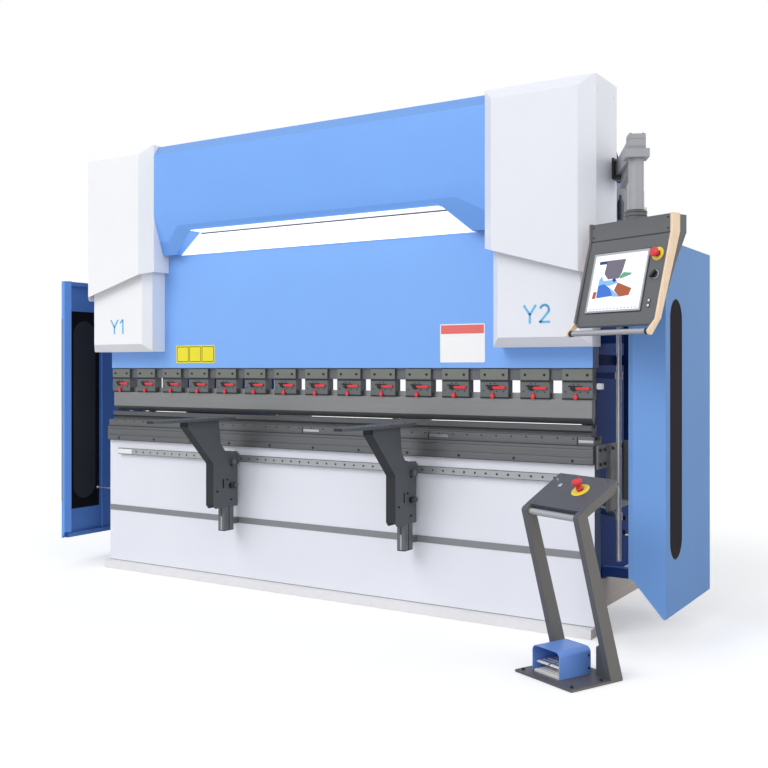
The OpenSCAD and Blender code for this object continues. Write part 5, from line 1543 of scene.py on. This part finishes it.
@dataclass
class Console(Assembly):
    """The foot console: its switches, its screws and the pedal hood."""

    corner: Spot = (1506.0, -713.0)
    turn: float = -24.5
    width: float = 332.0
    plate: float = 10.0
    top: Spot = (65.0, 692.0)
    rise: float = 0.6
    stop: Spot = (204.0, 125.0)
    key: Spot = (72.0, 140.0)
    hood: tuple[float, float, float, float, float] = (54.0, 215.0, 47.0, 219.0, 120.0)

    def stand(self) -> Matrix:
        """Returns the matrix of the stand: x right, y back, z up from the floor."""
        return place((*self.corner, 0)) @ turned(self.turn)

    def on_top(self, right: float, up: float) -> Matrix:
        """Returns the matrix of a place on the sloping top: x right, y up, z out."""
        tilt = Matrix.Rotation(math.atan(self.rise), 4, "X")
        return self.stand() @ place((0, *self.top)) @ tilt @ place((right, up, 0))

    def build(self) -> None:
        """Makes the details of the console."""
        kit = self.kit
        ring = Shape().ring([(14, -0.3), (40, -0.3), (40, 1.8), (38.5, 2.8), (14, 2.8)], 56)
        kit.piece("console_stop_ring", ring, Skin.YELLOW, at=self.on_top(*self.stop), bevel=0.2)
        foot = [(8, -12), (8, 7), (14, 8), (16, 12), (12.5, 20), (12.5, 24)]
        cap = Shape().lathe([*foot, (17, 31), (21.5, 35), (22.5, 42), (20, 48), (12, 51.5), (AXIS, 52)], 40)
        kit.piece(
            "console_stop_mushroom", cap, Skin.RED, "console_stop", at=self.on_top(*self.stop), bevel=0.3,
            replaces=("console_stop",),
        )
        key = Shape().lathe([(11, -0.3), (11, 2.4), (10, 3.4), (5, 3.4), (5, 2.4), (AXIS, 2.4)], 32)
        key.prism(rounded((-1.2, -8), (1.2, 8), 1), 2, 22, at=Matrix.Rotation(0.5, 4, "Z"))
        key.ring([(2, -1.2), (7, -1.2), (7, 1.2), (2, 1.2)], 20, place((0, 4, 26)) @ turned(90, "Y"))
        kit.piece(
            "console_key_switch", key, Skin.CHROME, slot=Slot.GROUND, at=self.on_top(*self.key), bevel=0.3
        )
        unit = Shape().lathe([(4, -0.3), (4, 1.2), (3, 2), (AXIS, 2.2)], 16)
        kit.rows(
            "console_top_screws", unit, (42, 14, 0), (248, 0, 0), 2, Skin.DARK_BOLT, (0, 188, 0), 2,
            at=self.on_top(0, 0),
        )
        sheet = Shape().prism(rounded((0.3, -3), (self.width - 0.3, 218), 7), -0.3, 1.3)
        kit.piece("console_top_sheet", sheet, Skin.STAND, at=self.on_top(0, 0), bevel=0.5)
        kit.rows(
            "console_floor_screws", cap_screw(7, 7), (24, 24, self.plate), (self.width - 48, 0, 0), 2,
            Skin.DARK_BOLT, (0, 160, 0), 2, at=self.stand(),
        )
        box = Shape().prism(rounded((234, 226), (298, 270), 5), self.plate - 0.5, 122)
        box.prism(rounded((238, 230), (294, 266), 4), 121, 127)
        kit.piece("console_terminal_box", box, Skin.GRAPHITE, at=self.stand(), bevel=1.2)
        self.pedals()

    def pedals(self) -> None:
        """Makes the bent hood in place of the CAD one, its tread plate and the treads."""
        kit = self.kit
        x0, x1, y0, y1, z1 = self.hood
        low = self.plate

        def arch(inset: float) -> list[Spot]:
            """Returns the hood's section in the XZ plane, open at its foot."""
            a, b, top, r = x0 + inset, x1 - inset, z1 - inset, 24 - inset
            corners = arc((a + r, top - r), r, 180, 90, 6) + arc((b - r, top - r), r, 90, 0, 6)
            return [(a, low), *corners, (b, low)]

        outer, inner = arch(0), arch(3.5)
        shell = Shape().prism(outer + inner[::-1], y0, y1, "Y")
        shell.prism(arch(2), y1 - 4, y1 - 0.5, "Y")
        shell.lathe(
            [(AXIS, 0), (4, 0), (4, x1 - x0), (AXIS, x1 - x0)], 20, place((x0, y1 - 25, low + 32), "+X")
        )
        kit.piece(
            "pedal_hood_shell", shell, Skin.HOOD_BLUE, at=self.stand(), bevel=0.7, replaces=("pedal_hood",)
        )
        plate = Shape().block((x0 + 8, y0 + 3, low - 0.3), (x1 - 8, y0 + 120, low + 9))
        for k in range(6):
            plate.block((x0 + 10, y0 + 8 + 18 * k, low + 8.8), (x1 - 10, y0 + 16 + 18 * k, low + 11))
        kit.piece("pedal_foot_rest", plate, Skin.POST, at=self.stand(), bevel=0.6)
        half = (x1 - x0 - 8) / 2
        for name, start in (("left", x0 + 4), ("right", x0 + 4 + half)):
            tread = Shape().block((start + 4, y0 + 17, low + 35.5), (start + half - 4, y0 + 118, low + 41.6))
            for k in range(5):
                tread.block(
                    (start + 6, y0 + 22 + 17 * k, low + 41.2),
                    (start + half - 6, y0 + 29 + 17 * k, low + 43.6),
                )
            kit.piece(f"pedal_tread_{name}", tread, Skin.POST, f"pedal_{name}", at=self.stand(), bevel=0.6)
        screws = Shape()
        head = [(5, -0.4), (5, 1.6), (4, 2.6), (2.4, 2.6), (2.4, 1), (AXIS, 1)]
        for z in (low + 24, low + 76):
            for x, axis in ((x0, "-X"), (x1, "+X")):
                screws.lathe(head, 18, place((x, y1 - 12, z), axis))
        kit.piece("pedal_hood_screws", screws, Skin.DARK_BOLT, at=self.stand())


@dataclass
class SupportArms(Assembly):
    """Knobs, screws and inserts of the two sheet support arms."""

    places: tuple[tuple[str, float], ...] = (("left", -561.0), ("right", 629.0))
    column: tuple[float, float, float] = (22.5, -175.0, 333.0)
    plate: float = 28.5
    front: float = -272.0
    back: float = -97.0
    low: float = 464.0

    def build(self) -> None:
        """Makes the details of both arms."""
        for name, x in self.places:
            self.dress_arm(name, x)

    def dress_arm(self, name: str, x: float) -> None:
        """Makes one arm's details.

        Args:
            name: "left" or "right".
            x: Place of its middle along the bend line.
        """
        kit = self.kit
        arm, carriage = f"support_arm_{name}", f"support_carriage_{name}"
        half, y0, z0 = self.column
        top = kit.high(carriage).z
        insert = Shape().block((x - 4.6, y0 - 0.6, z0 + 2), (x + 4.6, y0 + 3, z0 + 78))
        insert.block((x - 4.6, y0 - 0.6, top - 26), (x + 4.6, y0 + 3, top - 2))
        kit.piece(f"{carriage}_inserts", insert, Skin.BRIGHT, carriage, bevel=0.5)
        cap = Shape().prism(rounded((x - half - 0.8, y0 - 0.8), (x + half + 0.8, -94.2), 3), z0 - 4, z0 + 0.4)
        kit.piece(f"{carriage}_end_cap", cap, Skin.BLACK, carriage, bevel=0.8)
        shelf_low, shelf_high = kit.low(arm), kit.high(arm)
        screws = Shape()
        head = [(5.5, -0.4), (5.5, 4.2), (4.8, 5), (2.8, 5), (2.8, 2), (AXIS, 1.8)]
        back, front = self.back, self.front
        for y, z in ((back - 26, self.low + 40), (back - 26, 700), (back - 60, 620), (front + 30, 560)):
            for side in (1, -1):
                screws.lathe(head, 18, place((x + side * self.plate, y, z), outward(side)))
        kit.piece(f"{arm}_screws", screws, Skin.DARK_BOLT, arm)
        profile = [(6, -1), (6, 10), (13, 11), (15, 14), (15, 27), (13, 30), (5, 31), (AXIS, 31)]
        knob = Shape().lathe(profile, 12, place((x + self.plate, back - 30, 722), "+X"))
        kit.piece(f"{arm}_knob", knob, Skin.COLUMN, arm, bevel=0.8)
        profile = [(14.2, 1), (16, 2), (16, 15), (14, 18.6), (AXIS, 18.8)]
        grip = Shape().lathe(profile, 10, place((x + self.plate, back - 30, self.low + 120), "+X"))
        kit.piece(f"{arm}_lock_grip", grip, Skin.BLACK, arm, bevel=0.8)
        slot, top = Shape(), shelf_high.z
        for lip in (x - 8, x + 8):
            slot.block((lip - 1.2, shelf_low.y + 60, top - 0.8), (lip + 1.2, -152, top + 0.5))
        under = top - 14
        nose = Shape().block((x - 27.9, -478, under - 30), (x + 27.9, -474, under + 0.5))
        kit.piece(f"{arm}_nose", nose, Skin.ARM_GREY, arm, bevel=0.4)
        kit.piece(f"{arm}_slot_lips", slot, Skin.BRIGHT, arm)
        unit = Shape().lathe([(5, -0.3), (5, 0.9), (4.2, 1.3), (2.4, 1.3), (2.4, 0.3), (AXIS, 0.2)], 16)
        kit.rows(
            f"{arm}_shelf_screws", unit, (x - 38, -190, top), (76, 0, 0), 2, Skin.DARK_BOLT, (0, -130, 0), 4,
            body=arm,
        )


@dataclass
class BackGauge(Assembly):
    """Shaft, belt pulleys, motor, rail trim and finger details of the back gauge."""

    rail_x: float = 700.0
    front: float = 60.0
    back: float = 880.0
    finger_x: float = 420.0
    shaft: Spot = (872.0, 668.0)

    def build(self) -> None:
        """Makes the trim of both rails, the belt drive and the finger details."""
        kit = self.kit
        for side, name in SIDES:
            self.rail(side, name)
            self.finger(side, name)
        shaft = Shape().lathe(
            [(9, 0), (9, 1300), (8, 1301), (AXIS, 1301)], 24, place((-650, *self.shaft), "+X")
        )
        kit.piece("gauge_cross_shaft", shaft, Skin.BRIGHT)
        wheel = [(34, 0), (34, 2), (28, 2.4), (28, 22), (34, 22.4), (34, 24.4), (12, 24.8), (12, 34), (9, 34)]
        pulleys = Shape().studs(wheel, 32, [(x, *self.shaft) for x in (-640, 612, 120)], "+X")
        kit.piece("gauge_belt_pulleys", pulleys, Skin.BRIGHT, bevel=0.3)
        motor = Shape().prism(rounded((846, 690), (898, 742), 5), 150, 270, "X")
        motor.prism(rounded((840, 684), (898, 748), 3), 138, 151, "X")
        motor.prism(rounded((848, 742), (880, 772), 3), 200, 240, "X")
        kit.piece("gauge_motor", motor, Skin.GRAPHITE, bevel=1.0)
        plate = Shape().block((128, 838, 640), (138, 900, 760))
        kit.piece("gauge_motor_plate", plate, Skin.CARRIER, bevel=0.6)

    def rail(self, side: int, name: str) -> None:
        """Makes one rail's guide strips, its end stops and its saddle's screws.

        Args:
            side: -1 or 1.
            name: "left" or "right".
        """
        kit = self.kit
        x = side * self.rail_x
        strips = Shape()
        for s in (-1, 1):
            strips.block((x + s * 30 - 0.4, self.front, 612), (x + s * 30 + 0.4, self.back, 628))
        kit.piece(f"gauge_rail_{name}_guide", strips, Skin.BRIGHT)
        stops = Shape()
        for y in (self.front - 14, self.back - 18):
            stops.block((x - 22, y, 641), (x + 22, y + 26, 662))
        kit.piece(f"gauge_rail_{name}_stops", stops, Skin.RUBBER, bevel=1)
        kit.rows(
            f"gauge_saddle_{name}_screws", cap_screw(6, 6), (x - 35, 345, 761), (70, 0, 0), 2, Skin.DARK_BOLT,
            (0, 110, 0), 2, body="gauge_beam",
        )

    def finger(self, side: int, name: str) -> None:
        """Makes one finger's stop face, clamp knob and screws.

        Args:
            side: -1 or 1.
            name: "left" or "right".
        """
        kit = self.kit
        node = f"gauge_finger_{name}"
        tip = kit.low(node).y
        x = side * self.finger_x
        top = kit.high(node).z
        face = Shape().prism(
            rounded((x - 21.5, top - 41.5), (x + 21.5, top + 1.5), 2), tip - 0.6, tip + 14, "Y"
        )
        kit.piece(f"{node}_stop_face", face, Skin.CHROME, node, slot=Slot.GROUND, bevel=0.8)
        profile = [(6, -1), (6, 14), (16, 16), (18, 20), (18, 30), (15, 34), (AXIS, 35)]
        knob = Shape().lathe(profile, 8, place((x, 410, top)))
        kit.piece(f"{node}_clamp_knob", knob, Skin.BLACK, node, bevel=1.2)
        kit.rows(
            f"{node}_screws", cap_screw(4, 3), (x - 12, tip + 40, top), (24, 0, 0), 2, Skin.DARK_BOLT,
            (0, 170, 0), 2, body=node,
        )


@dataclass
class Hydraulics(Assembly):
    """The tank's fittings, the motor's fins, the valves and the cylinders' bolts."""

    motor_at: Point = (620.0, 585.0, 2280.0)
    bell: float = 90.0
    length: float = 300.0
    radius: float = 115.0
    valve_x: float = 1175.0
    cylinder_x: float = 1380.0

    def build(self) -> None:
        """Makes the tank, motor, valve and cylinder details."""
        self.tank()
        self.motor()
        for side, name in SIDES:
            self.valves(side, name)
            self.cylinder(side, name)

    def tank(self) -> None:
        """Makes the tank's lid screws, filler cap, sight glass and drain."""
        kit = self.kit
        low, high = kit.low("oil_tank"), kit.high("oil_tank")
        lid = high.z - 54
        across = (0, high.y - low.y - 40, 0)
        kit.rows(
            "tank_lid_bolts", hex_bolt(13, 8), (low.x + 20, low.y + 20, lid), (148, 0, 0), 7, Skin.BRIGHT,
            across, 2,
        )
        profile = [(40.8, 0), (43, 3), (43, 20), (40, 24), (20, 26), (AXIS, 26)]
        cap = Shape().lathe(profile, 24, place((-180, 450, high.z - 18)))
        kit.piece("tank_filler_cap", cap, Skin.BLACK, bevel=1)
        glass = Shape().prism(
            rounded((low.x + 110, 2190), (low.x + 150, 2340), 8), high.y - 13, high.y - 2, "Y"
        )
        glass.block((low.x + 120, high.y - 3, 2212), (low.x + 140, high.y + 1, 2318))
        kit.piece("tank_sight_glass", glass, Skin.BEZEL, bevel=1)
        profile = [(22, -1), (22, 6), (14, 7), (14, 18), (AXIS, 18)]
        plug = Shape().lathe(profile, 6, place((low.x + 60, high.y - 12, 2180), "+Y"))
        kit.piece("tank_drain_plug", plug, Skin.BRIGHT, bevel=0.5)

    def motor(self) -> None:
        """Makes the motor's fins, the cowl's slots and the bell's bolts."""
        kit = self.kit
        x, y, z = self.motor_at
        start = place((x + self.bell + 14, y, z), "+X")
        fin = Shape().block((-7, -1.4, 0), (3, 1.4, self.length - 28))
        r = self.radius
        kit.ring("motor_fins", fin, r + 6, 44, Skin.SHADED_BLUE, at=start, bevel=0.4)
        profile = [(r + 12, 0), (r + 12, 44), (r + 4, 54), (r - 14, 55), (r - 14, 52)]
        cowl = Shape().lathe(profile, 48, place((x + self.bell + self.length - 2, y, z), "+X"))
        kit.piece("motor_fan_cowl", cowl, Skin.SHADED_BLUE, bevel=1.2)
        grille = Shape()
        for bar in (20, 40, 60, 80):
            grille.ring([(bar, 0), (bar + 5, 0), (bar + 5, 3), (bar, 3)], 48)
        behind = place((x + self.bell + self.length + 52.5, y, z), "+X")
        kit.piece("motor_grille", grille, Skin.BLACK, at=behind, bevel=0.3)
        kit.ring(
            "motor_grille_spokes", Shape().block((-44, -1.6, 0), (44, 1.6, 3)), 46, 8, Skin.BLACK, at=behind
        )
        kit.ring(
            "motor_flange_bolts", hex_bolt(13, 9), 98, 6, Skin.BRIGHT, at=place((x + self.bell, y, z), "-X")
        )
        lid = Shape().prism(
            rounded((x + self.bell + 87, y - 48), (x + self.bell + 193, y + 48), 6), z + 158, z + 166
        )
        kit.piece("motor_terminal_lid", lid, Skin.BLACK, bevel=1)

    def valves(self, side: int, name: str) -> None:
        """Makes one valve block's solenoids, plugs and bolts."""
        kit = self.kit
        x0, x1 = sorted((side * self.valve_x, side * (self.valve_x + 120)))
        coils, middle = Shape(), (x0 + x1) / 2
        profile = [(18, -1), (18, 8), (22, 9), (22, 62), (15, 66), (15, 74), (AXIS, 74)]
        for y in (235, 295):
            coils.lathe(profile, 28, place((middle - 26, y, 2300)))
            coils.prism(rounded((y - 14, 2318), (y + 14, 2352), 3), middle - 6, middle + 26, "X")
        kit.piece(f"valve_{name}_solenoids", coils, Skin.BLACK, bevel=1)
        kit.rows(
            f"valve_{name}_bolts", cap_screw(7, 7), (x0 + 16, 216, 2300), (88, 0, 0), 2, Skin.DARK_BOLT,
            (0, 98, 0), 2,
        )
        unit = Shape().lathe([(13, -1), (13, 5), (10, 7), (5, 7), (5, 2), (AXIS, 2)], 6, facing("+Y"))
        kit.rows(f"valve_{name}_plugs", unit, (x0 + 34, 330, 2180), (52, 0, 0), 2, Skin.BRIGHT, (0, 0, 70), 2)

    def cylinder(self, side: int, name: str) -> None:
        """Makes one cylinder's end bolts, gland ring and oil line."""
        kit = self.kit
        x = side * self.cylinder_x
        low, high = kit.low("cylinders"), kit.high("cylinders")
        kit.ring(
            f"cylinder_{name}_end_bolts", cap_screw(11, 12), 92, 10, Skin.DARK_BOLT, at=place((x, 0, high.z))
        )
        gland = Shape().ring([(51, -9), (96, -9), (98, -7), (98, 1), (51, 1)], 48)
        kit.piece(f"cylinder_{name}_gland", gland, Skin.BRIGHT, at=place((x, 0, low.z)), bevel=0.6)
        path = [
            (1235, 265, 2371), (1235, 265, 2430), (1240, 180, 2462), (1330, 60, 2462), (1360, 30, 2440),
            (1360, 30, high.z - 2),
        ]
        hose = kit.tube([(side * x, y, z) for x, y, z in path], 11.0, Skin.RUBBER)
        kit.piece(f"cylinder_{name}_hose", hose, Skin.RUBBER)


@dataclass
class Cabinet(Assembly):
    """Louvres, locks and trim of the electric cabinet."""

    door: Spot = (1416.0, 1648.0)
    lock_x: float = 1440.0

    def build(self) -> None:
        """Makes the side louvres, the door's locks and its folded rim."""
        kit = self.kit
        low, high = kit.low("cabinet_box"), kit.high("cabinet_door")
        blade = Shape().prism([(0, -4), (3.5, -4.5), (3.5, -2.5), (0, 4)], -60, 60, "Y")
        kit.rows(
            "cabinet_louvres", blade, (COVER_SIDE, (low.y + 500) / 2, low.z + 60), (0, 0, 15), 9, Skin.WHITE,
            bevel=0.4,
        )
        door = high.y
        profile = [(14, -26), (14, -24), (12, -23), (5, -23), (5, -24.5), (AXIS, -24.6)]
        lock = Shape().studs(profile, 28, [(self.lock_x, door, z) for z in (low.z + 90, high.z - 90)], "+Y")
        kit.piece("cabinet_door_locks", lock, Skin.CHROME, "cabinet_door", bevel=0.3)
        x0, x1 = self.door
        outer = rounded((x0, low.z + 6), (x1, high.z - 4), 4)
        rim = Shape().frame(outer, rounded((x0 + 8, low.z + 14), (x1 - 8, high.z - 12), 3), -0.2, 1.4)
        at = place((0, door - 25, 0), "+Y") @ Matrix.Diagonal((1, -1, 1, 1))
        kit.piece("cabinet_door_fold", rim, Skin.WHITE, "cabinet_door", at=at, bevel=0.4)


@dataclass
class Frames(Assembly):
    """Bolts, lifting holes, foot angles and trim of the side frames, covers and scales."""

    lifting_hole: Spot = (640.0, 2330.0)
    foot: tuple[Spot, Spot] = ((130.0, 45.0), (1299.0, 152.0))
    foot_thick: float = 24.0
    carrier_face: float = 1612.0

    def build(self) -> None:
        """Makes the details of both sides."""
        for side, name in SIDES:
            self.rear(side, name)
            self.scale(side, name)

    def rear(self, side: int, name: str) -> None:
        """Makes one side frame's tie bolts, lifting hole, foot angle and cover screws."""
        kit, axis = self.kit, outward(side)
        outer = side * FRAME_FACE
        head = [(13, -0.5), (13, 11), (11.5, 13), (7, 13), (7, 6), (AXIS, 5.6)]
        low_row = [(outer, 925, z) for z in (340, 420, 580, 660)]
        high_row = [(outer, y, 2130) for y in (260, 420, 600, 780)]
        bolts = Shape().studs(head, 24, low_row + high_row, axis)
        kit.piece(f"side_frame_{name}_tie_bolts", bolts, Skin.DARK_BOLT)
        eye = place((outer, *self.lifting_hole), axis)
        ring = Shape().ring([(30, -0.5), (44, -0.5), (44, 5), (41, 7), (30, 7)], 40, eye)
        hole = Shape().lathe([(30, -0.4), (30, 0.6), (AXIS, 0.6)], 40, eye)
        foot_low, foot_high = self.foot
        angle = Shape().block((outer, *foot_low), (outer + side * self.foot_thick, *foot_high))
        kit.piece(f"side_frame_{name}_foot_angle", angle, Skin.BASE, bevel=2)
        kit.piece(f"side_frame_{name}_lifting_boss", ring, Skin.SHADE_NAVY, bevel=0.8)
        kit.piece(f"side_frame_{name}_lifting_hole", hole, Skin.BLACK)
        head = [(6, -0.5), (6, 1.2), (4.8, 2.2), (2.6, 2.2), (2.6, 0.8), (AXIS, 0.7)]
        places = [(side * COVER_SIDE, y, z) for z in (1740, 2130, 2520) for y in (-150, 60)]
        screws = Shape().studs(head, 18, places, axis)
        kit.piece(f"upper_cover_{name}_screws", screws, Skin.WHITE_CAP)

    def scale(self, side: int, name: str) -> None:
        """Makes one scale's cover and seal and its carrier plate's bolts."""
        kit = self.kit
        low, high = kit.low("linear_scales"), kit.high("linear_scales")
        spots = [
            (0, 868), (60, 868), (0, 802), (60, 802), (380, 600), (380, 700), (250, 600), (170, 868),
            (290, 868),
        ]
        head = [(8, -0.4), (8, 6), (7, 7.4), (4, 7.4), (4, 3), (AXIS, 2.8)]
        bolts = Shape().studs(head, 20, [(side * self.carrier_face, y, z) for y, z in spots], outward(side))
        kit.piece(f"scale_plate_{name}_bolts", bolts, Skin.DARK_BOLT)
        x0, x1 = sorted((side * 1611.6, side * 1639.4))
        outer = rounded((x0, 328.6), (x1, 371.4), 2)
        inner = rounded((x0 + 1.2, 329.8), (x1 - 1.2, 370.2), 1.4)
        shell = Shape().frame(outer, inner, low.z + 330, high.z - 6)
        kit.piece(f"scale_{name}_cover", shell, Skin.SHADE_NAVY, bevel=0.3)
        slot = Shape().block((side * 1625 - 1.5, 327.8, low.z + 350), (side * 1625 + 1.5, 329.4, high.z - 26))
        kit.piece(f"scale_{name}_seal", slot, Skin.RUBBER)


@dataclass
class Studio:
    """Camera, lamps, world and floor."""

    eye: Point = (3.2676, -4.524, 1.252)
    azimuth: float = 32.2
    lens: float = 47.3
    sensor: float = 36.0
    shift: float = -0.0208
    ambient: float = 0.52
    key: float = 1.32
    floor_lift: float = 0.34

    def build(self) -> None:
        """Makes everything that isn't the machine."""
        scene = bpy.context.scene
        scene.view_settings.view_transform = "Standard"
        self.camera(scene)
        self.world(scene)
        self.lamp("key_lamp", (52.0, 0.0, -18.0), self.key, 40.0)
        self.lamp("side_lamp", (64.0, 0.0, 84.0), 0.72, 60.0)
        self.lamp("back_lamp", (58.0, 0.0, 190.0), 0.5, 60.0)
        self.floor(scene)

    def camera(self, scene: bpy.types.Scene) -> None:
        """Makes the camera, level and turned to the left."""
        data = bpy.data.cameras.new("camera")
        data.lens, data.sensor_width, data.shift_y = self.lens, self.sensor, self.shift
        data.clip_end = 100.0
        camera = bpy.data.objects.new("camera", data)
        camera.location = self.eye
        camera.rotation_euler = (math.pi / 2, 0.0, math.radians(self.azimuth))
        scene.collection.objects.link(camera)
        scene.camera = camera

    def world(self, scene: bpy.types.Scene) -> None:
        """Makes a white background for the camera, gloss and glass, and a soft
        ambient light for the rest."""
        world = bpy.data.worlds.new("studio")
        world.use_nodes = True
        tree = world.node_tree
        tree.nodes.clear()
        path = add_node(tree, "ShaderNodeLightPath").outputs
        seen = add_node(
            tree, "ShaderNodeMath", {"operation": "MAXIMUM"},
            {0: path["Is Camera Ray"], 1: path["Is Glossy Ray"]},
        )
        shown = add_node(
            tree, "ShaderNodeMath", {"operation": "MAXIMUM"},
            {0: seen.outputs[0], 1: path["Is Transmission Ray"]},
        )
        soft = add_node(
            tree, "ShaderNodeBackground", {"Color": (0.98, 0.985, 1.0, 1.0), "Strength": self.ambient}
        )
        white = add_node(tree, "ShaderNodeBackground", {"Color": (1.0, 1.0, 1.0, 1.0), "Strength": 1.0})
        mix = add_node(
            tree, "ShaderNodeMixShader", None, {0: shown.outputs[0], 1: soft.outputs[0], 2: white.outputs[0]}
        )
        add_node(tree, "ShaderNodeOutputWorld", None, {"Surface": mix.outputs[0]})
        scene.world = world

    def lamp(self, name: str, turn: Point, strength: float, spread: float) -> None:
        """Adds a soft distant lamp.

        Args:
            name: The lamp's name.
            turn: Its Euler angles in degrees.
            strength: Its strength in watts per square metre.
            spread: Its angle in degrees, which softens the shadows.
        """
        data = bpy.data.lights.new(name, "SUN")
        data.energy, data.angle = strength, math.radians(spread)
        lamp = bpy.data.objects.new(name, data)
        lamp.rotation_euler = [math.radians(a) for a in turn]
        bpy.context.scene.collection.objects.link(lamp)

    def floor(self, scene: bpy.types.Scene) -> None:
        """Makes a plain pale floor that fades into the background."""
        material = bpy.data.materials.new("studio_floor")
        material.use_nodes = True
        tree = material.node_tree
        tree.nodes.clear()
        path = add_node(tree, "ShaderNodeLightPath").outputs
        matt = add_node(tree, "ShaderNodeBsdfDiffuse", {"Color": (0.8, 0.8, 0.81, 1.0)})
        share = {"operation": "MULTIPLY", 1: self.floor_lift}
        lit = add_node(tree, "ShaderNodeMath", share, {0: path["Is Camera Ray"]})
        white = {"Color": (1.0, 1.0, 1.0, 1.0)}
        lift = add_node(tree, "ShaderNodeEmission", white, {"Strength": lit.outputs[0]})
        both = add_node(tree, "ShaderNodeAddShader", None, {0: matt.outputs[0], 1: lift.outputs[0]})
        add_node(tree, "ShaderNodeOutputMaterial", None, {"Surface": both.outputs[0]})
        shape = Shape().prism(arc((0, 0), 30000, 0, 350, 35), -40, -1)
        mesh = shape.mesh("floor")
        mesh.transform(Matrix.Scale(MM, 4))
        mesh.materials.append(material)
        floor = bpy.data.objects.new("floor", mesh)
        scene.collection.objects.link(floor)


def main() -> None:
    """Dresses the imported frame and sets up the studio."""
    logging.basicConfig(level=logging.INFO, format="%(name)s %(message)s")
    Studio().build()
    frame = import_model()
    kit = Kit(frame)
    for assembly in (
        CadFinishes, Bed, LowerTool, ToolClamps, RamPlates, Hood, Guards, Pendant, Console, SupportArms,
        BackGauge, Hydraulics, Cabinet, Frames,
    ):
        assembly(kit).build()
        LOG.info("%s built", assembly.__name__)


if __name__ == "__main__":
    main()
